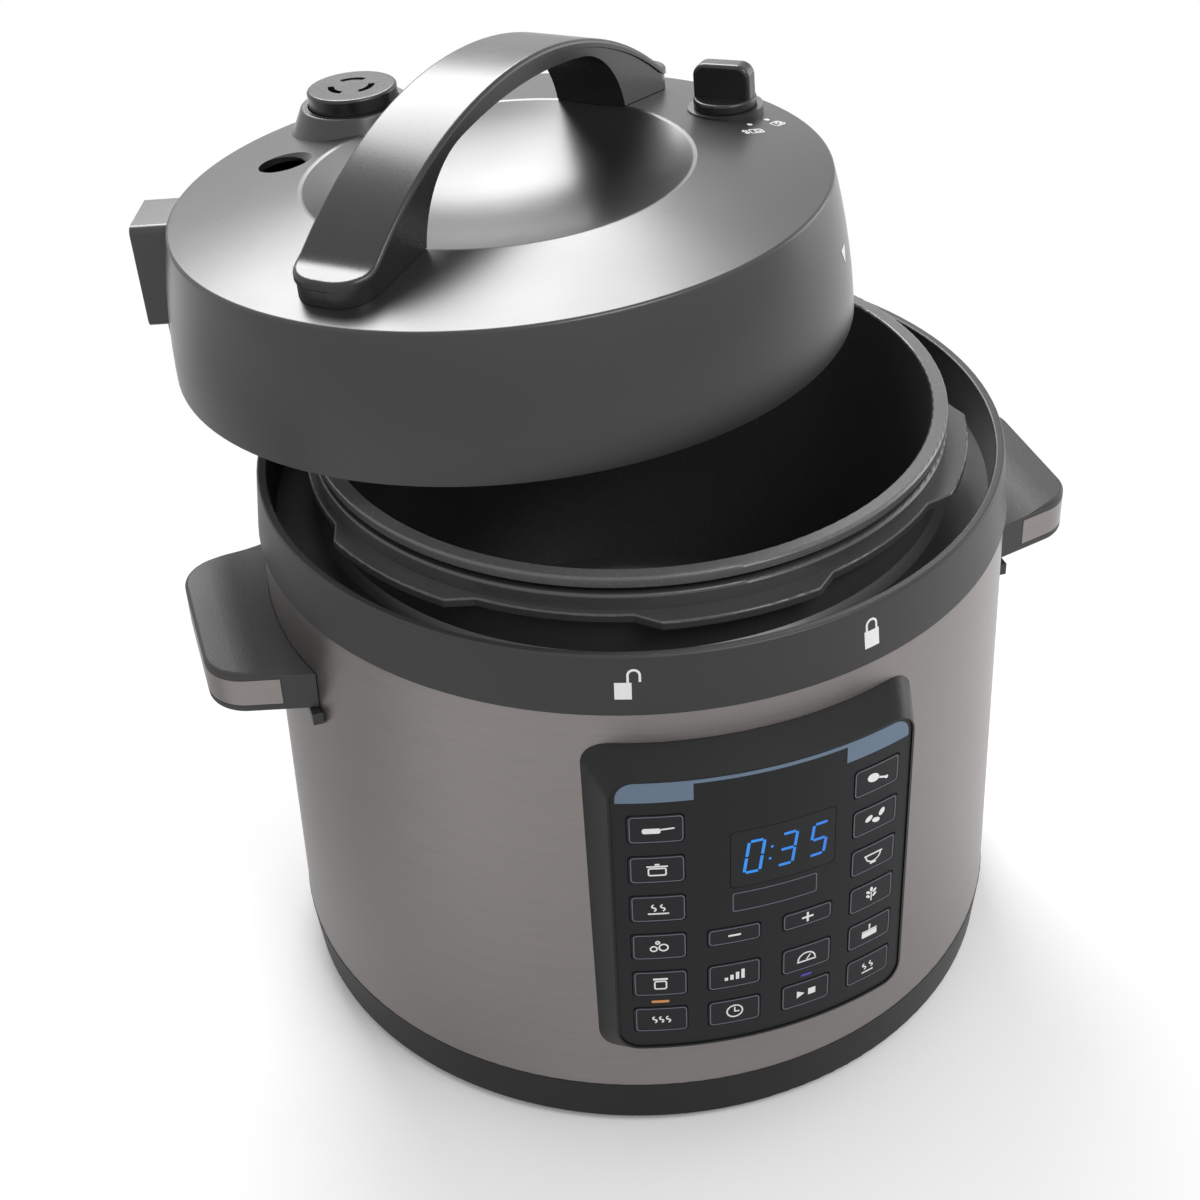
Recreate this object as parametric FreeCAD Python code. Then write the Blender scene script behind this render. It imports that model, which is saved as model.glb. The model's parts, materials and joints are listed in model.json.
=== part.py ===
import FreeCAD
import Part

import math
import os

from FreeCAD import Placement, Rotation, Vector

# Electric pressure cooker with its lid lifted off, in millimetres.
# +Z is up and the front is -Y. The origin is on the bench, under the axis of the pot.
# Angles are degrees about +Z, counted from the front towards +X.

# Heights of the body, from the bench up
foot_height = 2.6
base_height = 19.6
housing_height = 174.0
collar_height = 22.0

# Walls of the body, and how far each piece stands off the one inside it
housing_room = 23.8
housing_flare = 3.0
housing_wall = 0.8
base_overhang = 0.2
base_taper = 1.8
base_wall = 2.6
base_lip_width = 14.0
base_lip_thickness = 3.4
collar_overhang = 0.9
collar_taper = 2.3
collar_rim = 3.4
collar_draft = 1.5
gutter_depth = 18.0
gutter_floor = 2.5
spigot_height = 6.0
spigot_wall = 2.4

# Pressure liner and its bayonet flange
pot_gap = 1.5
liner_wall = 1.6
liner_floor_rise = 33.8
liner_floor_thickness = 2.0
liner_bead = 3.0
neck_height = 9.0
neck_wall = 3.0
flange_height = 3.0
flange_thickness = 3.0
flange_reach = 9.0
recess_depth = 5.1
lobe_count = 6
recess_angle = 26.0
ramp_angle = 4.0

# Inner pot
pot_inner_radius = 110.0
pot_wall = 1.5
pot_base_thickness = 3.0
pot_corner = 12.0
pot_rim_height = 15.4
lip_width = 4.3
lip_thickness = 2.0
lip_drop = 3.6

# Heater and temperature sensor
plate_margin = 9.0
plate_thickness = 10.0
plate_rib_height = 5.0
plate_rib_width = 6.0
sensor_hole_radius = 21.0
element_set = 30.0
element_tube = 4.0
terminal_radius = 2.0
terminal_length = 16.0
terminal_spread = 12.0
sensor_radius = 17.0
sensor_wall = 1.5
sensor_skirt = 10.0
sensor_guide_radius = 5.0
sensor_guide_flange = 13.0
sensor_spring_radius = 9.0
sensor_spring_wire = 0.7
sensor_spring_turns = 5

# Electrical pieces in the base
cover_thickness = 1.5
vent_count = 18
vent_length = 22.0
vent_width = 3.0
vent_radius = 62.0
foot_radius = 9.0
foot_inset = 19.2
foot_count = 4
cover_screw_count = 4
power_board_length = 96.0
power_board_width = 62.0
power_board_height = 12.0
board_thickness = 1.6
relay_size = 18.0
capacitor_radius = 6.0
capacitor_height = 16.0
switch_length = 26.0
switch_width = 12.0
switch_height = 14.0
plunger_radius = 2.0
inlet_rise = 29.8
inlet_width = 27.0
inlet_opening_height = 19.8
inlet_depth = 20.0
inlet_wall = 2.0
inlet_flange = 5.0
inlet_flange_thickness = 2.5
inlet_pin_width = 2.0
inlet_pin_height = 4.0
inlet_pin_length = 14.0
inlet_pin_spread = 7.0

# Side handles
handle_stand = 29.6
handle_root_half = 47.0
handle_end_half = 35.0
handle_corner = 16.0
handle_drop = 22.0
handle_thickness = 17.6
handle_edge = 1.6
handle_scoop_radius = 60.0
handle_scoop_depth = 1.8
handle_scoop_lift = 0.02
handle_foot_drop = 4.8
handle_foot_depth = 4.2
trim_thickness = 1.2
trim_margin = 3.4
trim_stand = 5.6
screw_radius = 2.0
screw_head_radius = 4.0
screw_head_height = 2.0
screw_grip = 9.0
handle_screw_spread = 24.0

# Control panel
bezel_drop = 12.0
bezel_foot = 21.0
bezel_width = 116.8
bezel_proud = 9.3
bezel_side_inset = 4.0
bezel_top_inset = 6.0
bezel_bottom_inset = 9.0
bezel_corner = 11.0
bezel_root = 6.0
bezel_rim = 1.1
overlay_thickness = 1.5
overlay_sunk = 0.5
overlay_corner = 7.0
ledge_width = 3.0
neck_wall_panel = 2.2
neck_depth = 7.0
key_width = 18.8
key_gap = 6.0
key_corner = 1.6
key_rows = 6
key_flange = 0.9
key_flange_thickness = 1.2
key_proud = 0.2
key_travel = 0.4
first_key_drop = 20.4
last_key_rise = 13.4
column_gap = 8.4
step_key_height = 7.8
step_row = 2.9167
mat_thickness = 1.5
control_board_width = 90.0
display_width = 38.0
display_height = 25.0
display_offset = 4.3
display_row = 1
module_margin = 3.0

# Lid, in its own frame: Z is the lid axis from the bottom of the skirt, X runs along the handle
skirt_room = 5.2
skirt_middle_set = 1.6
crease_set = 6.0
skirt_height = 53.4
lid_wall = 2.5
crease_round = 1.4
annulus_width = 50.2
dish_rise = 6.9
dish_depth = 16.0
dish_round = 3.0
lug_block_angle = 207.0
lug_block_width = 30.0
lug_block_stand = 7.8
lug_block_lift = 1.0
lug_block_step = 11.0
lug_block_step_width = 18.0
lug_block_corner = 3.0
lid_sink = 4.0

# Lid handle
grip_end_set = 9.8
grip_width = 32.0
grip_corner = 12.5
grip_crown = 48.3
grip_foot = 12.0
grip_foot_end = 10.5
grip_end_length = 11.0
grip_cover_thickness = 3.2
grip_side_step = 0.8
grip_edge = 1.6
grip_blend = 14.0
arch_set = 1.6
arch_spring = 5.0
arch_haunch = 42.0
arch_haunch_height = 36.0
arch_shoulder = 62.5
arch_shoulder_height = 24.0
arch_crown = 40.2

# Inner lid, seal and lugs
inner_lid_height = 27.5
inner_lid_thickness = 1.5
rim_gap = 0.35
inner_rim_wall = 1.1
lug_overlap = 2.0
lug_thickness = 3.0
lug_angle = 9.0
lug_offset = -4.15
seal_gap = 1.2
seal_width = 10.0
rack_wire = 1.5
rack_clip_count = 6
rack_clip_wire = 1.2
inner_screw_count = 6
inner_screw_set = 27.4
inner_screw_offset = 20.0
lid_screw_scale = 0.75
boss_radius = 4.5

# Steam valve
valve_set = 19.0
valve_angle = 159.4
valve_boss_top_radius = 21.0
valve_boss_bottom_radius = 27.0
valve_boss_height = 12.5
valve_cap_radius = 17.8
valve_cap_top = 18.8
valve_recess_depth = 6.0
valve_slot_radius = 8.0
valve_slot_width = 2.6
valve_slot_depth = 2.5
valve_slot_sweep = 70.0
valve_slot_count = 3
pipe_radius = 4.5
pipe_bore = 2.0
pipe_flange_radius = 9.0
pipe_flange_thickness = 2.0
pipe_tail = 5.0
pipe_seat = 5.0
shield_radius = 12.0
shield_height = 7.0
shield_wall = 1.0
shield_hole = 1.5
shield_hole_count = 12

# Float valve
float_set = 16.4
float_angle = 189.8
float_hole_radius = 9.0
float_pin_radius = 3.5
float_head_radius = 5.0
float_head_height = 4.0
float_travel = 6.0
float_seal_radius = 6.0
float_seal_height = 3.0
float_guide_wall = 2.0

# Steam release knob
knob_set = 27.4
knob_angle = 59.6
knob_radius = 12.2
knob_disc_height = 3.5
knob_boss_radius = 14.6
knob_boss_height = 2.5
knob_boss_depth = 15.0
wing_length = 23.0
wing_thickness = 8.0
wing_height = 13.0
wing_corner = 5.0
wing_edge = 1.6
wing_angle = 36.0
knob_shaft_radius = 3.0
knob_shaft_length = 18.0
knob_shaft_grip = 5.25
cam_radius = 6.0
cam_reach = 14.0
cam_thickness = 3.0

# Relief valve in the middle of the inner lid
relief_ball_radius = 4.0
relief_hole_radius = 2.6
relief_cage_wall = 1.5
relief_cage_height = 7.0
relief_spring_radius = 2.5
relief_spring_wire = 0.4
relief_spring_turns = 3

# Where the lifted lid hovers: place of the skirt's bottom centre, lean and spin
lid_rest_right = -26.3
lid_rest_back = 58.5
lid_rest_rise = 23.2
lid_lean = 3.96
lid_spin = 43.9

# Clearances
fit_gap = 0.2
slide_gap = 0.3
running_gap = 0.06
mat_gap = 0.1
thermal_gap = 0.5

# Radii that follow, from the pot outwards
pot_outer_radius = pot_inner_radius + pot_wall
lip_radius = pot_outer_radius + lip_width
liner_inner_radius = pot_outer_radius + pot_gap
liner_outer_radius = liner_inner_radius + liner_wall
plate_radius = liner_inner_radius - plate_margin
element_radius = plate_radius - element_set
lobe_radius = liner_outer_radius + flange_reach
recess_radius = lobe_radius - recess_depth
housing_top_radius = liner_outer_radius + housing_room
housing_bottom_radius = housing_top_radius + housing_flare
base_top_radius = housing_bottom_radius + base_overhang
base_bottom_radius = base_top_radius - base_taper
collar_bottom_radius = housing_top_radius + collar_overhang
collar_top_radius = collar_bottom_radius - collar_taper
handle_reach = housing_top_radius + handle_stand
trim_start = housing_top_radius + trim_stand
base_inner_radius = base_bottom_radius - base_wall
foot_circle = base_inner_radius - foot_inset

# Heights that follow
base_top = foot_height + base_height
housing_top = base_top + housing_height
collar_top = housing_top + collar_height
gutter_top = collar_top - gutter_depth
inlet_height = base_top + inlet_rise
liner_floor_height = base_top + liner_floor_rise
liner_floor_top = liner_floor_height + liner_floor_thickness
flange_top = collar_top + flange_height
flange_bottom = flange_top - flange_thickness
plate_bottom = liner_floor_top + plate_rib_height
plate_top = plate_bottom + plate_thickness
pot_bottom = plate_top + fit_gap
pot_top = collar_top + pot_rim_height
cover_bottom = foot_height + base_lip_thickness
cover_top = cover_bottom + cover_thickness
cover_radius = base_inner_radius - fit_gap
cover_screw_circle = base_inner_radius - base_lip_width / 2
board_low = cover_top + power_board_height
spigot_outer_radius = housing_top_radius - housing_wall - fit_gap
handle_top = housing_top - handle_drop
handle_bottom = handle_top - handle_thickness

# Panel places that follow
bezel_top = housing_top - bezel_drop
bezel_bottom = base_top + bezel_foot
bezel_face_width = bezel_width - 2 * bezel_side_inset
face_top = bezel_top - bezel_top_inset
face_bottom = bezel_bottom + bezel_bottom_inset
face_radius = housing_bottom_radius + bezel_proud
overlay_outer = face_radius - overlay_sunk
overlay_inner = overlay_outer - overlay_thickness
overlay_top = face_top - bezel_rim
overlay_bottom = face_bottom + bezel_rim
overlay_width = bezel_face_width - 2 * bezel_rim
key_outer = overlay_outer + key_proud
key_flange_outer = overlay_inner - slide_gap
key_flange_inner = key_flange_outer - key_flange_thickness
mat_outer = key_flange_inner - key_travel - mat_gap
mat_inner = mat_outer - mat_thickness
hollow_width = overlay_width - 2 * ledge_width
hollow_top = overlay_top - ledge_width
hollow_bottom = overlay_bottom + ledge_width
window_width = hollow_width + 2 * neck_wall_panel
window_top = hollow_top + neck_wall_panel
window_bottom = hollow_bottom - neck_wall_panel
mat_width = hollow_width - 2 * slide_gap
board_front = math.sqrt(mat_inner**2 - (control_board_width / 2) ** 2) - thermal_gap
board_back = board_front - board_thickness
first_row = overlay_top - first_key_drop
key_pitch = (first_row - overlay_bottom - last_key_rise) / (key_rows - 1)
key_height = key_pitch - key_gap
outer_column = hollow_width / 2 - key_flange - key_width / 2
inner_column = key_width / 2 + column_gap / 2
display_middle = first_row - display_row * key_pitch

# Lid radii and heights that follow, in the lid's frame
skirt_radius = lobe_radius + skirt_room
skirt_middle_radius = skirt_radius - skirt_middle_set
crease_radius = skirt_radius - crease_set
dish_radius = crease_radius - annulus_width
lug_block_reach = skirt_radius + lug_block_stand
grip_half_length = crease_radius - grip_end_set
grip_arc_half = grip_half_length - grip_end_length
arch_half_span = dish_radius - arch_set
lug_inner_radius = lobe_radius - lug_overlap
seal_outer_radius = lug_inner_radius - seal_gap
seal_inner_radius = seal_outer_radius - seal_width
inner_screw_circle = dish_radius + inner_screw_set
valve_circle = dish_radius + valve_set
float_circle = dish_radius + float_set
knob_circle = dish_radius + knob_set
dish_rim_height = skirt_height + dish_rise
dish_bottom = dish_rim_height - dish_depth
flange_in_lid = flange_bottom - collar_top + lid_sink
lug_top = flange_in_lid - slide_gap
lug_bottom = lug_top - lug_thickness
pot_top_in_lid = pot_rim_height + lid_sink
seal_bottom = pot_top_in_lid + slide_gap
inner_lid_top = inner_lid_height + inner_lid_thickness
seal_top = inner_lid_height - slide_gap
rack_radius = seal_inner_radius - rack_wire - fit_gap
valve_boss_top = skirt_height + valve_boss_height
valve_floor = valve_boss_top - valve_recess_depth
pipe_top = valve_floor + pipe_seat
relief_seat = relief_ball_radius + slide_gap
relief_height = inner_lid_top + math.sqrt(relief_seat**2 - relief_hole_radius**2)


def annulus_height(radius):
    """Height of the lid's sloping top between the crease and the dish."""
    share = (crease_radius - radius) / (crease_radius - dish_radius)
    return skirt_height + share * dish_rise


knob_seat = annulus_height(knob_circle) + knob_boss_height
float_rest = annulus_height(float_circle) - float_travel - float_head_height - fit_gap


def polar(radius, angle, height=0.0):
    """Point at a radius and an angle from the front."""
    turn = math.radians(angle)
    return Vector(radius * math.sin(turn), -radius * math.cos(turn), height)


def turned(shape, angle):
    """Copy of a shape turned about Z."""
    copy = shape.copy()
    copy.rotate(Vector(0, 0, 0), Vector(0, 0, 1), angle)
    return copy


def moved(shape, step):
    """Copy of a shape moved by a vector."""
    copy = shape.copy()
    copy.translate(step)
    return copy


def cylinder(radius, low, high, at=Vector(0, 0, 0)):
    """Upright cylinder between two heights."""
    return Part.makeCylinder(radius, high - low, Vector(at.x, at.y, low))


def tube(outer, inner, low, high, at=Vector(0, 0, 0)):
    """Upright tube between two heights."""
    return cylinder(outer, low, high, at).cut(cylinder(inner, low, high, at))


def box(low, high):
    """Box between two corners."""
    return Part.makeBox(high.x - low.x, high.y - low.y, high.z - low.z, low)


def outline(points):
    """Closed face in the XZ plane. A step given as a pair of points is an arc through the first."""
    edges = []
    here = points[0]
    for step in points[1:] + points[:1]:
        if isinstance(step[0], tuple):
            through, end = step
            edges.append(Part.Arc(upright(here), upright(through), upright(end)).toShape())
        else:
            end = step
            edges.append(Part.LineSegment(upright(here), upright(end)).toShape())
        here = end
    return Part.Face(Part.Wire(edges))


def upright(point):
    """Point of the XZ plane from a pair."""
    return Vector(point[0], 0, point[1])


def spun(points, sweep=360.0):
    """Solid of revolution about Z of an outline of (radius, height) points."""
    return outline(points).revolve(Vector(0, 0, 0), Vector(0, 0, 1), sweep)


def corner_arc(centre, radius, start, end):
    """Arc step of an outline round a centre, from one direction in degrees to another."""
    middle = math.radians((start + end) / 2)
    last = math.radians(end)
    through = (centre[0] + radius * math.cos(middle), centre[1] + radius * math.sin(middle))
    return through, (centre[0] + radius * math.cos(last), centre[1] + radius * math.sin(last))


def prism(points, low, high):
    """Upright prism over a polygon of (x, y) points."""
    corners = [Vector(x, y, low) for x, y in points]
    face = Part.Face(Part.makePolygon(corners + corners[:1]))
    return face.extrude(Vector(0, 0, high - low))


def runs_along(edge, axis):
    """True for a straight edge along an axis."""
    if not isinstance(edge.Curve, Part.Line):
        return False
    return abs(edge.tangentAt(edge.FirstParameter).dot(axis)) > 0.999


def rounded(shape, radius, choose):
    """Copy with the chosen edges rounded."""
    edges = [edge for edge in shape.Edges if not edge.Degenerated and choose(edge)]
    return shape.makeFillet(radius, edges)


def circle_at(edge, radius, height):
    """True for a full circle about Z of a radius at a height."""
    if not isinstance(edge.Curve, Part.Circle):
        return False
    return same(edge.Curve.Radius, radius) and same(edge.Curve.Center.z, height)


def same(first, second):
    """True for two lengths that are equal but for rounding."""
    return abs(first - second) < 1e-3


def rim_at(edge, height):
    """True for a closed edge that lies at a height."""
    return len(edge.Vertexes) == 1 and same(edge.CenterOfMass.z, height)


def radial_box(angle, near, far, width, low, high, corner=0.0):
    """Box along the radius at an angle, with its radial edges rounded."""
    block = Part.makeBox(width, far - near, high - low, Vector(-width / 2, -far, low))
    if corner:
        block = rounded(block, corner, lambda edge: runs_along(edge, Vector(0, 1, 0)))
    return turned(block, angle)


def coil(radius, wire, low, high, turns, at=Vector(0, 0, 0)):
    """Round wire spring, as one pipe along quarter-turn arcs."""
    pitch = (high - low - 2 * wire) / turns

    def on_helix(turn):
        angle = 2 * math.pi * turn
        return Vector(radius * math.cos(angle), radius * math.sin(angle), low + wire + pitch * turn)

    arcs = []
    for quarter in range(4 * turns):
        points = [on_helix((quarter + share) / 4) for share in (0, 0.5, 1)]
        arcs.append(Part.Arc(*points).toShape())
    path = Part.Wire(arcs)
    ring = Part.Wire(Part.makeCircle(wire, on_helix(0), arcs[0].tangentAt(arcs[0].FirstParameter)))
    return moved(path.makePipeShell([ring], True, False), Vector(at.x, at.y, 0))


def screw(head, tip, head_radius, head_height, shank_radius):
    """Screw from the outer face of its head to its tip."""
    axis = tip - head
    shank = Part.makeCylinder(shank_radius, axis.Length, head, axis)
    return shank.fuse(Part.makeCylinder(head_radius, head_height, head, axis)).removeSplitter()


def housing_radius(height):
    """Outer radius of the housing at a height."""
    share = (height - base_top) / housing_height
    return housing_bottom_radius + share * (housing_top_radius - housing_bottom_radius)


def housing_solid(gap):
    """Filled housing, grown by a gap, that pieces on its surface are cut back from."""
    foot = Vector(0, 0, base_top)
    return Part.makeCone(housing_bottom_radius + gap, housing_top_radius + gap, housing_height, foot)


def handle_screw_places():
    """Heads and tips of the screws of the right handle."""
    height = handle_bottom + handle_thickness / 2
    places = []
    for side in (-1, 1):
        y = side * handle_screw_spread
        wall_radius = housing_radius(height + screw_head_radius) - housing_wall
        wall = math.sqrt(wall_radius**2 - (handle_screw_spread + screw_head_radius) ** 2)
        head = Vector(wall - screw_head_height - fit_gap, y, height)
        places.append((head, head + Vector(screw_head_height + screw_grip, 0, 0)))
    return places


def screw_holes(places, radius):
    """Clearance holes for screws on both sides of the body."""
    holes = []
    for head, tip in places:
        for way in (1, -1):
            start = Vector(way * head.x, head.y, head.z)
            length = (tip - head).Length + fit_gap
            holes.append(Part.makeCylinder(radius, length, start, Vector(way, 0, 0)))
    return holes


def inlet_block(grow, near, far):
    """Block on the rear radius round the power inlet's opening."""
    half = inlet_opening_height / 2 + grow
    low = inlet_height - half
    high = inlet_height + half
    return radial_box(180, near, far, inlet_width + 2 * grow, low, high, inlet_wall)


def make_housing():
    """Brushed steel sleeve with the openings for the panel, the inlet and the handle screws."""
    wall = housing_wall
    sleeve = spun([
        (housing_bottom_radius - wall, base_top),
        (housing_bottom_radius, base_top),
        (housing_top_radius, housing_top),
        (housing_top_radius - wall, housing_top),
    ])
    window = panel_block(window_width + 2 * fit_gap, window_bottom - fit_gap, window_top + fit_gap)
    sleeve = sleeve.cut(window)
    sleeve = sleeve.cut(inlet_block(inlet_wall + fit_gap, liner_outer_radius, face_radius))
    return sleeve.cut(screw_holes(handle_screw_places(), screw_radius + fit_gap))


def make_collar():
    """Plastic ring on the housing, with the condensate gutter round the liner."""
    top_inner = collar_top_radius - collar_rim
    gutter_inner = liner_outer_radius + fit_gap
    floor_bottom = gutter_top - gutter_floor
    ring = spun([
        (collar_bottom_radius, housing_top),
        (collar_top_radius, collar_top),
        (top_inner, collar_top),
        (top_inner - collar_draft, gutter_top),
        (gutter_inner, gutter_top),
        (gutter_inner, floor_bottom),
        (spigot_outer_radius - spigot_wall, floor_bottom),
        (spigot_outer_radius - spigot_wall, housing_top - spigot_height),
        (spigot_outer_radius, housing_top - spigot_height),
        (spigot_outer_radius, housing_top),
    ])
    ring = rounded(ring, collar_rim / 3, lambda edge: circle_at(edge, collar_top_radius, collar_top))
    return rounded(ring, collar_rim / 4, lambda edge: circle_at(edge, top_inner, collar_top))


def make_base_ring():
    """Plastic foot of the body, with a spigot in the housing and a lip for the bottom cover."""
    spigot_radius = housing_bottom_radius - housing_wall - fit_gap
    ring = spun([
        (base_inner_radius - base_lip_width, foot_height),
        (base_bottom_radius, foot_height),
        (base_top_radius, base_top),
        (spigot_radius, base_top),
        (spigot_radius - base_wall / 2, base_top + spigot_height),
        (spigot_radius - base_wall, base_top + spigot_height),
        (base_inner_radius, base_top),
        (base_inner_radius, cover_bottom),
        (base_inner_radius - base_lip_width, cover_bottom),
    ])
    ring = rounded(ring, base_wall / 2, lambda edge: circle_at(edge, base_bottom_radius, foot_height))
    sunk = foot_height + screw_head_height
    cuts = [cylinder(foot_radius + fit_gap, foot_height, cover_bottom, at) for at in foot_places()]
    for at in cover_screw_places():
        cuts.append(cylinder(screw_radius + fit_gap, foot_height, cover_bottom, at))
        cuts.append(cylinder(screw_head_radius + fit_gap, foot_height, sunk, at))
    return ring.cut(cuts)


def foot_places():
    """Centres of the feet, between the screws."""
    step = 360 / foot_count
    return [polar(foot_circle, step * (index + 0.5)) for index in range(foot_count)]


def cover_screw_places():
    """Axes of the screws through the lip of the base ring."""
    step = 360 / cover_screw_count
    return [polar(cover_screw_circle, step * index) for index in range(cover_screw_count)]


def make_bottom_cover():
    """Sheet metal bottom with a ring of vents and posts for the power board."""
    plate = cylinder(cover_radius, cover_bottom, cover_top)
    slot = box(
        Vector(-vent_width / 2, vent_radius - vent_length / 2, cover_bottom),
        Vector(vent_width / 2, vent_radius + vent_length / 2, cover_top),
    )
    cuts = [turned(slot, 360 / vent_count * index) for index in range(vent_count)]
    hole = screw_radius + fit_gap
    cuts += [cylinder(hole, cover_bottom, cover_top, at) for at in cover_screw_places()]
    plate = plate.cut(cuts)
    posts = [cylinder(boss_radius, cover_top, board_low, at) for at in board_post_places()]
    return plate.fuse(posts).removeSplitter()


def board_post_places():
    """Centres of the posts at the corners of the power board."""
    x = power_board_length / 2 - boss_radius
    y = power_board_width / 2 - boss_radius
    return [Vector(sx * x, sy * y, 0) for sx in (-1, 1) for sy in (-1, 1)]


def make_feet():
    """Rubber feet under the lip of the base ring."""
    feet = []
    for place in foot_places():
        foot = cylinder(foot_radius, 0, cover_bottom, place)
        feet.append(rounded(foot, foot_height / 3, lambda edge: rim_at(edge, 0)))
    return Part.makeCompound(feet)


def make_base_screws():
    """Screws from below, sunk in the lip, that hold the bottom cover."""
    screws = []
    for place in cover_screw_places():
        head = Vector(place.x, place.y, foot_height)
        tip = Vector(place.x, place.y, cover_top + screw_radius)
        screws.append(screw(head, tip, screw_head_radius, screw_head_height, screw_radius))
    return Part.makeCompound(screws)


def make_liner():
    """Steel pressure liner with its neck, scalloped bayonet flange, hanging bead and sensor post."""
    neck_top = collar_top + neck_height
    neck_radius = liner_inner_radius + neck_wall
    body = spun([
        (0, liner_floor_height),
        (liner_outer_radius, liner_floor_height),
        (liner_outer_radius, gutter_top),
        (liner_outer_radius + liner_bead, gutter_top),
        (liner_outer_radius, gutter_top + liner_bead),
        (liner_outer_radius, flange_bottom),
        (lobe_radius, flange_bottom),
        (lobe_radius, flange_top),
        (neck_radius, flange_top),
        (neck_radius, neck_top),
        (liner_inner_radius, neck_top),
        (liner_inner_radius, liner_floor_top),
        (0, liner_floor_top),
    ])
    body = rounded(body, neck_wall / 2.5, lambda edge: circle_at(edge, neck_radius, neck_top))
    step = 360 / lobe_count
    cuts = [turned(recess_cutter(), step * (index + 0.5)) for index in range(lobe_count)]
    for side in (-1, 1):
        place = polar(element_radius, side * terminal_spread / 2)
        cuts.append(cylinder(terminal_radius + thermal_gap, liner_floor_height, liner_floor_top, place))
    body = body.cut(cuts)
    body = rounded(body, flange_thickness / 4, lambda edge: flange_edge(edge, flange_top))
    return body.fuse(sensor_guide()).removeSplitter()


def flange_edge(edge, height):
    """True for an edge of the scalloped outline at a height."""
    if not same(edge.CenterOfMass.z, height):
        return False
    reach = [math.hypot(vertex.X, vertex.Y) for vertex in edge.Vertexes]
    return all(end > recess_radius or same(end, recess_radius) for end in reach)


def recess_cutter():
    """Cutter for one recess of the flange, on the front radius."""
    half = recess_angle / 2
    outside = lobe_radius + flange_thickness
    reach = half + ramp_angle * (outside - recess_radius) / (lobe_radius - recess_radius)
    low = flange_bottom
    inner = Part.Arc(*[polar(recess_radius, way * half, low) for way in (-1, 0, 1)])
    outer = Part.Arc(*[polar(outside, way * reach, low) for way in (1, 0, -1)])
    right = Part.LineSegment(polar(recess_radius, half, low), polar(outside, reach, low))
    left = Part.LineSegment(polar(outside, -reach, low), polar(recess_radius, -half, low))
    face = Part.Face(Part.Wire([inner.toShape(), right.toShape(), outer.toShape(), left.toShape()]))
    return face.extrude(Vector(0, 0, flange_thickness))


def make_inner_pot():
    """Removable cooking pot with a rolled lip."""
    inner_corner = pot_corner - pot_wall
    floor = pot_bottom + pot_base_thickness
    outer_centre = (pot_outer_radius - pot_corner, pot_bottom + pot_corner)
    inner_centre = (pot_inner_radius - inner_corner, floor + inner_corner)
    pot = spun([
        (0, pot_bottom),
        (pot_outer_radius - pot_corner, pot_bottom),
        corner_arc(outer_centre, pot_corner, -90, 0),
        (pot_outer_radius, pot_top - lip_thickness),
        (lip_radius - lip_thickness, pot_top - lip_thickness),
        (lip_radius - lip_thickness, pot_top - lip_drop),
        (lip_radius, pot_top - lip_drop),
        (lip_radius, pot_top),
        (pot_inner_radius, pot_top),
        (pot_inner_radius, floor + inner_corner),
        corner_arc(inner_centre, inner_corner, 0, -90),
        (0, floor),
    ])
    pot = rounded(pot, lip_thickness / 2, lambda edge: circle_at(edge, lip_radius, pot_top))
    return rounded(pot, pot_wall / 2, lambda edge: circle_at(edge, pot_inner_radius, pot_top))


def make_heating_plate():
    """Cast plate with a rib that stands on the liner's floor and a groove for the element."""
    plate = tube(plate_radius, sensor_hole_radius, plate_bottom, plate_top)
    rib = tube(plate_radius, plate_radius - plate_rib_width, liner_floor_top, plate_bottom)
    groove = Part.makeTorus(element_radius, element_tube + fit_gap, Vector(0, 0, plate_bottom))
    return plate.fuse(rib).removeSplitter().cut(groove)


def make_heating_element():
    """Tubular heater ring under the plate, with two terminals through the liner's floor."""
    ring = Part.makeTorus(element_radius, element_tube, Vector(0, 0, plate_bottom))
    pins = []
    for side in (-1, 1):
        place = polar(element_radius, side * terminal_spread / 2)
        pins.append(cylinder(terminal_radius, plate_bottom - terminal_length, plate_bottom, place))
    return ring.fuse(pins).removeSplitter()


def make_sensor_button():
    """Sprung cap that touches the pot and reads its temperature."""
    top = pot_bottom - fit_gap
    cap = cylinder(sensor_radius, top - sensor_skirt, top)
    hollow = cylinder(sensor_radius - sensor_wall, top - sensor_skirt, top - sensor_wall)
    return rounded(cap.cut(hollow), sensor_wall / 2, lambda edge: circle_at(edge, sensor_radius, top))


def sensor_guide():
    """Post welded on the liner's floor, that the sensor spring stands round."""
    flange = cylinder(sensor_guide_flange, liner_floor_top, liner_floor_top + sensor_wall)
    return flange.fuse(cylinder(sensor_guide_radius, liner_floor_top, plate_top - sensor_skirt / 2))


def make_sensor_spring():
    """Spring between the guide and the cap."""
    low = liner_floor_top + sensor_wall
    high = pot_bottom - fit_gap - sensor_wall
    return coil(sensor_spring_radius, sensor_spring_wire, low, high, sensor_spring_turns)


def make_pressure_switch():
    """Switch under the liner, with its plunger at the floor."""
    place = polar(element_radius / 2, 90)
    top = liner_floor_height - terminal_radius
    half = Vector(switch_length / 2, switch_width / 2, 0)
    body = box(
        Vector(place.x - half.x, place.y - half.y, top - switch_height),
        Vector(place.x + half.x, place.y + half.y, top),
    )
    plunger = cylinder(plunger_radius, top, liner_floor_height - fit_gap, place)
    return body.fuse(plunger).removeSplitter()


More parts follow.
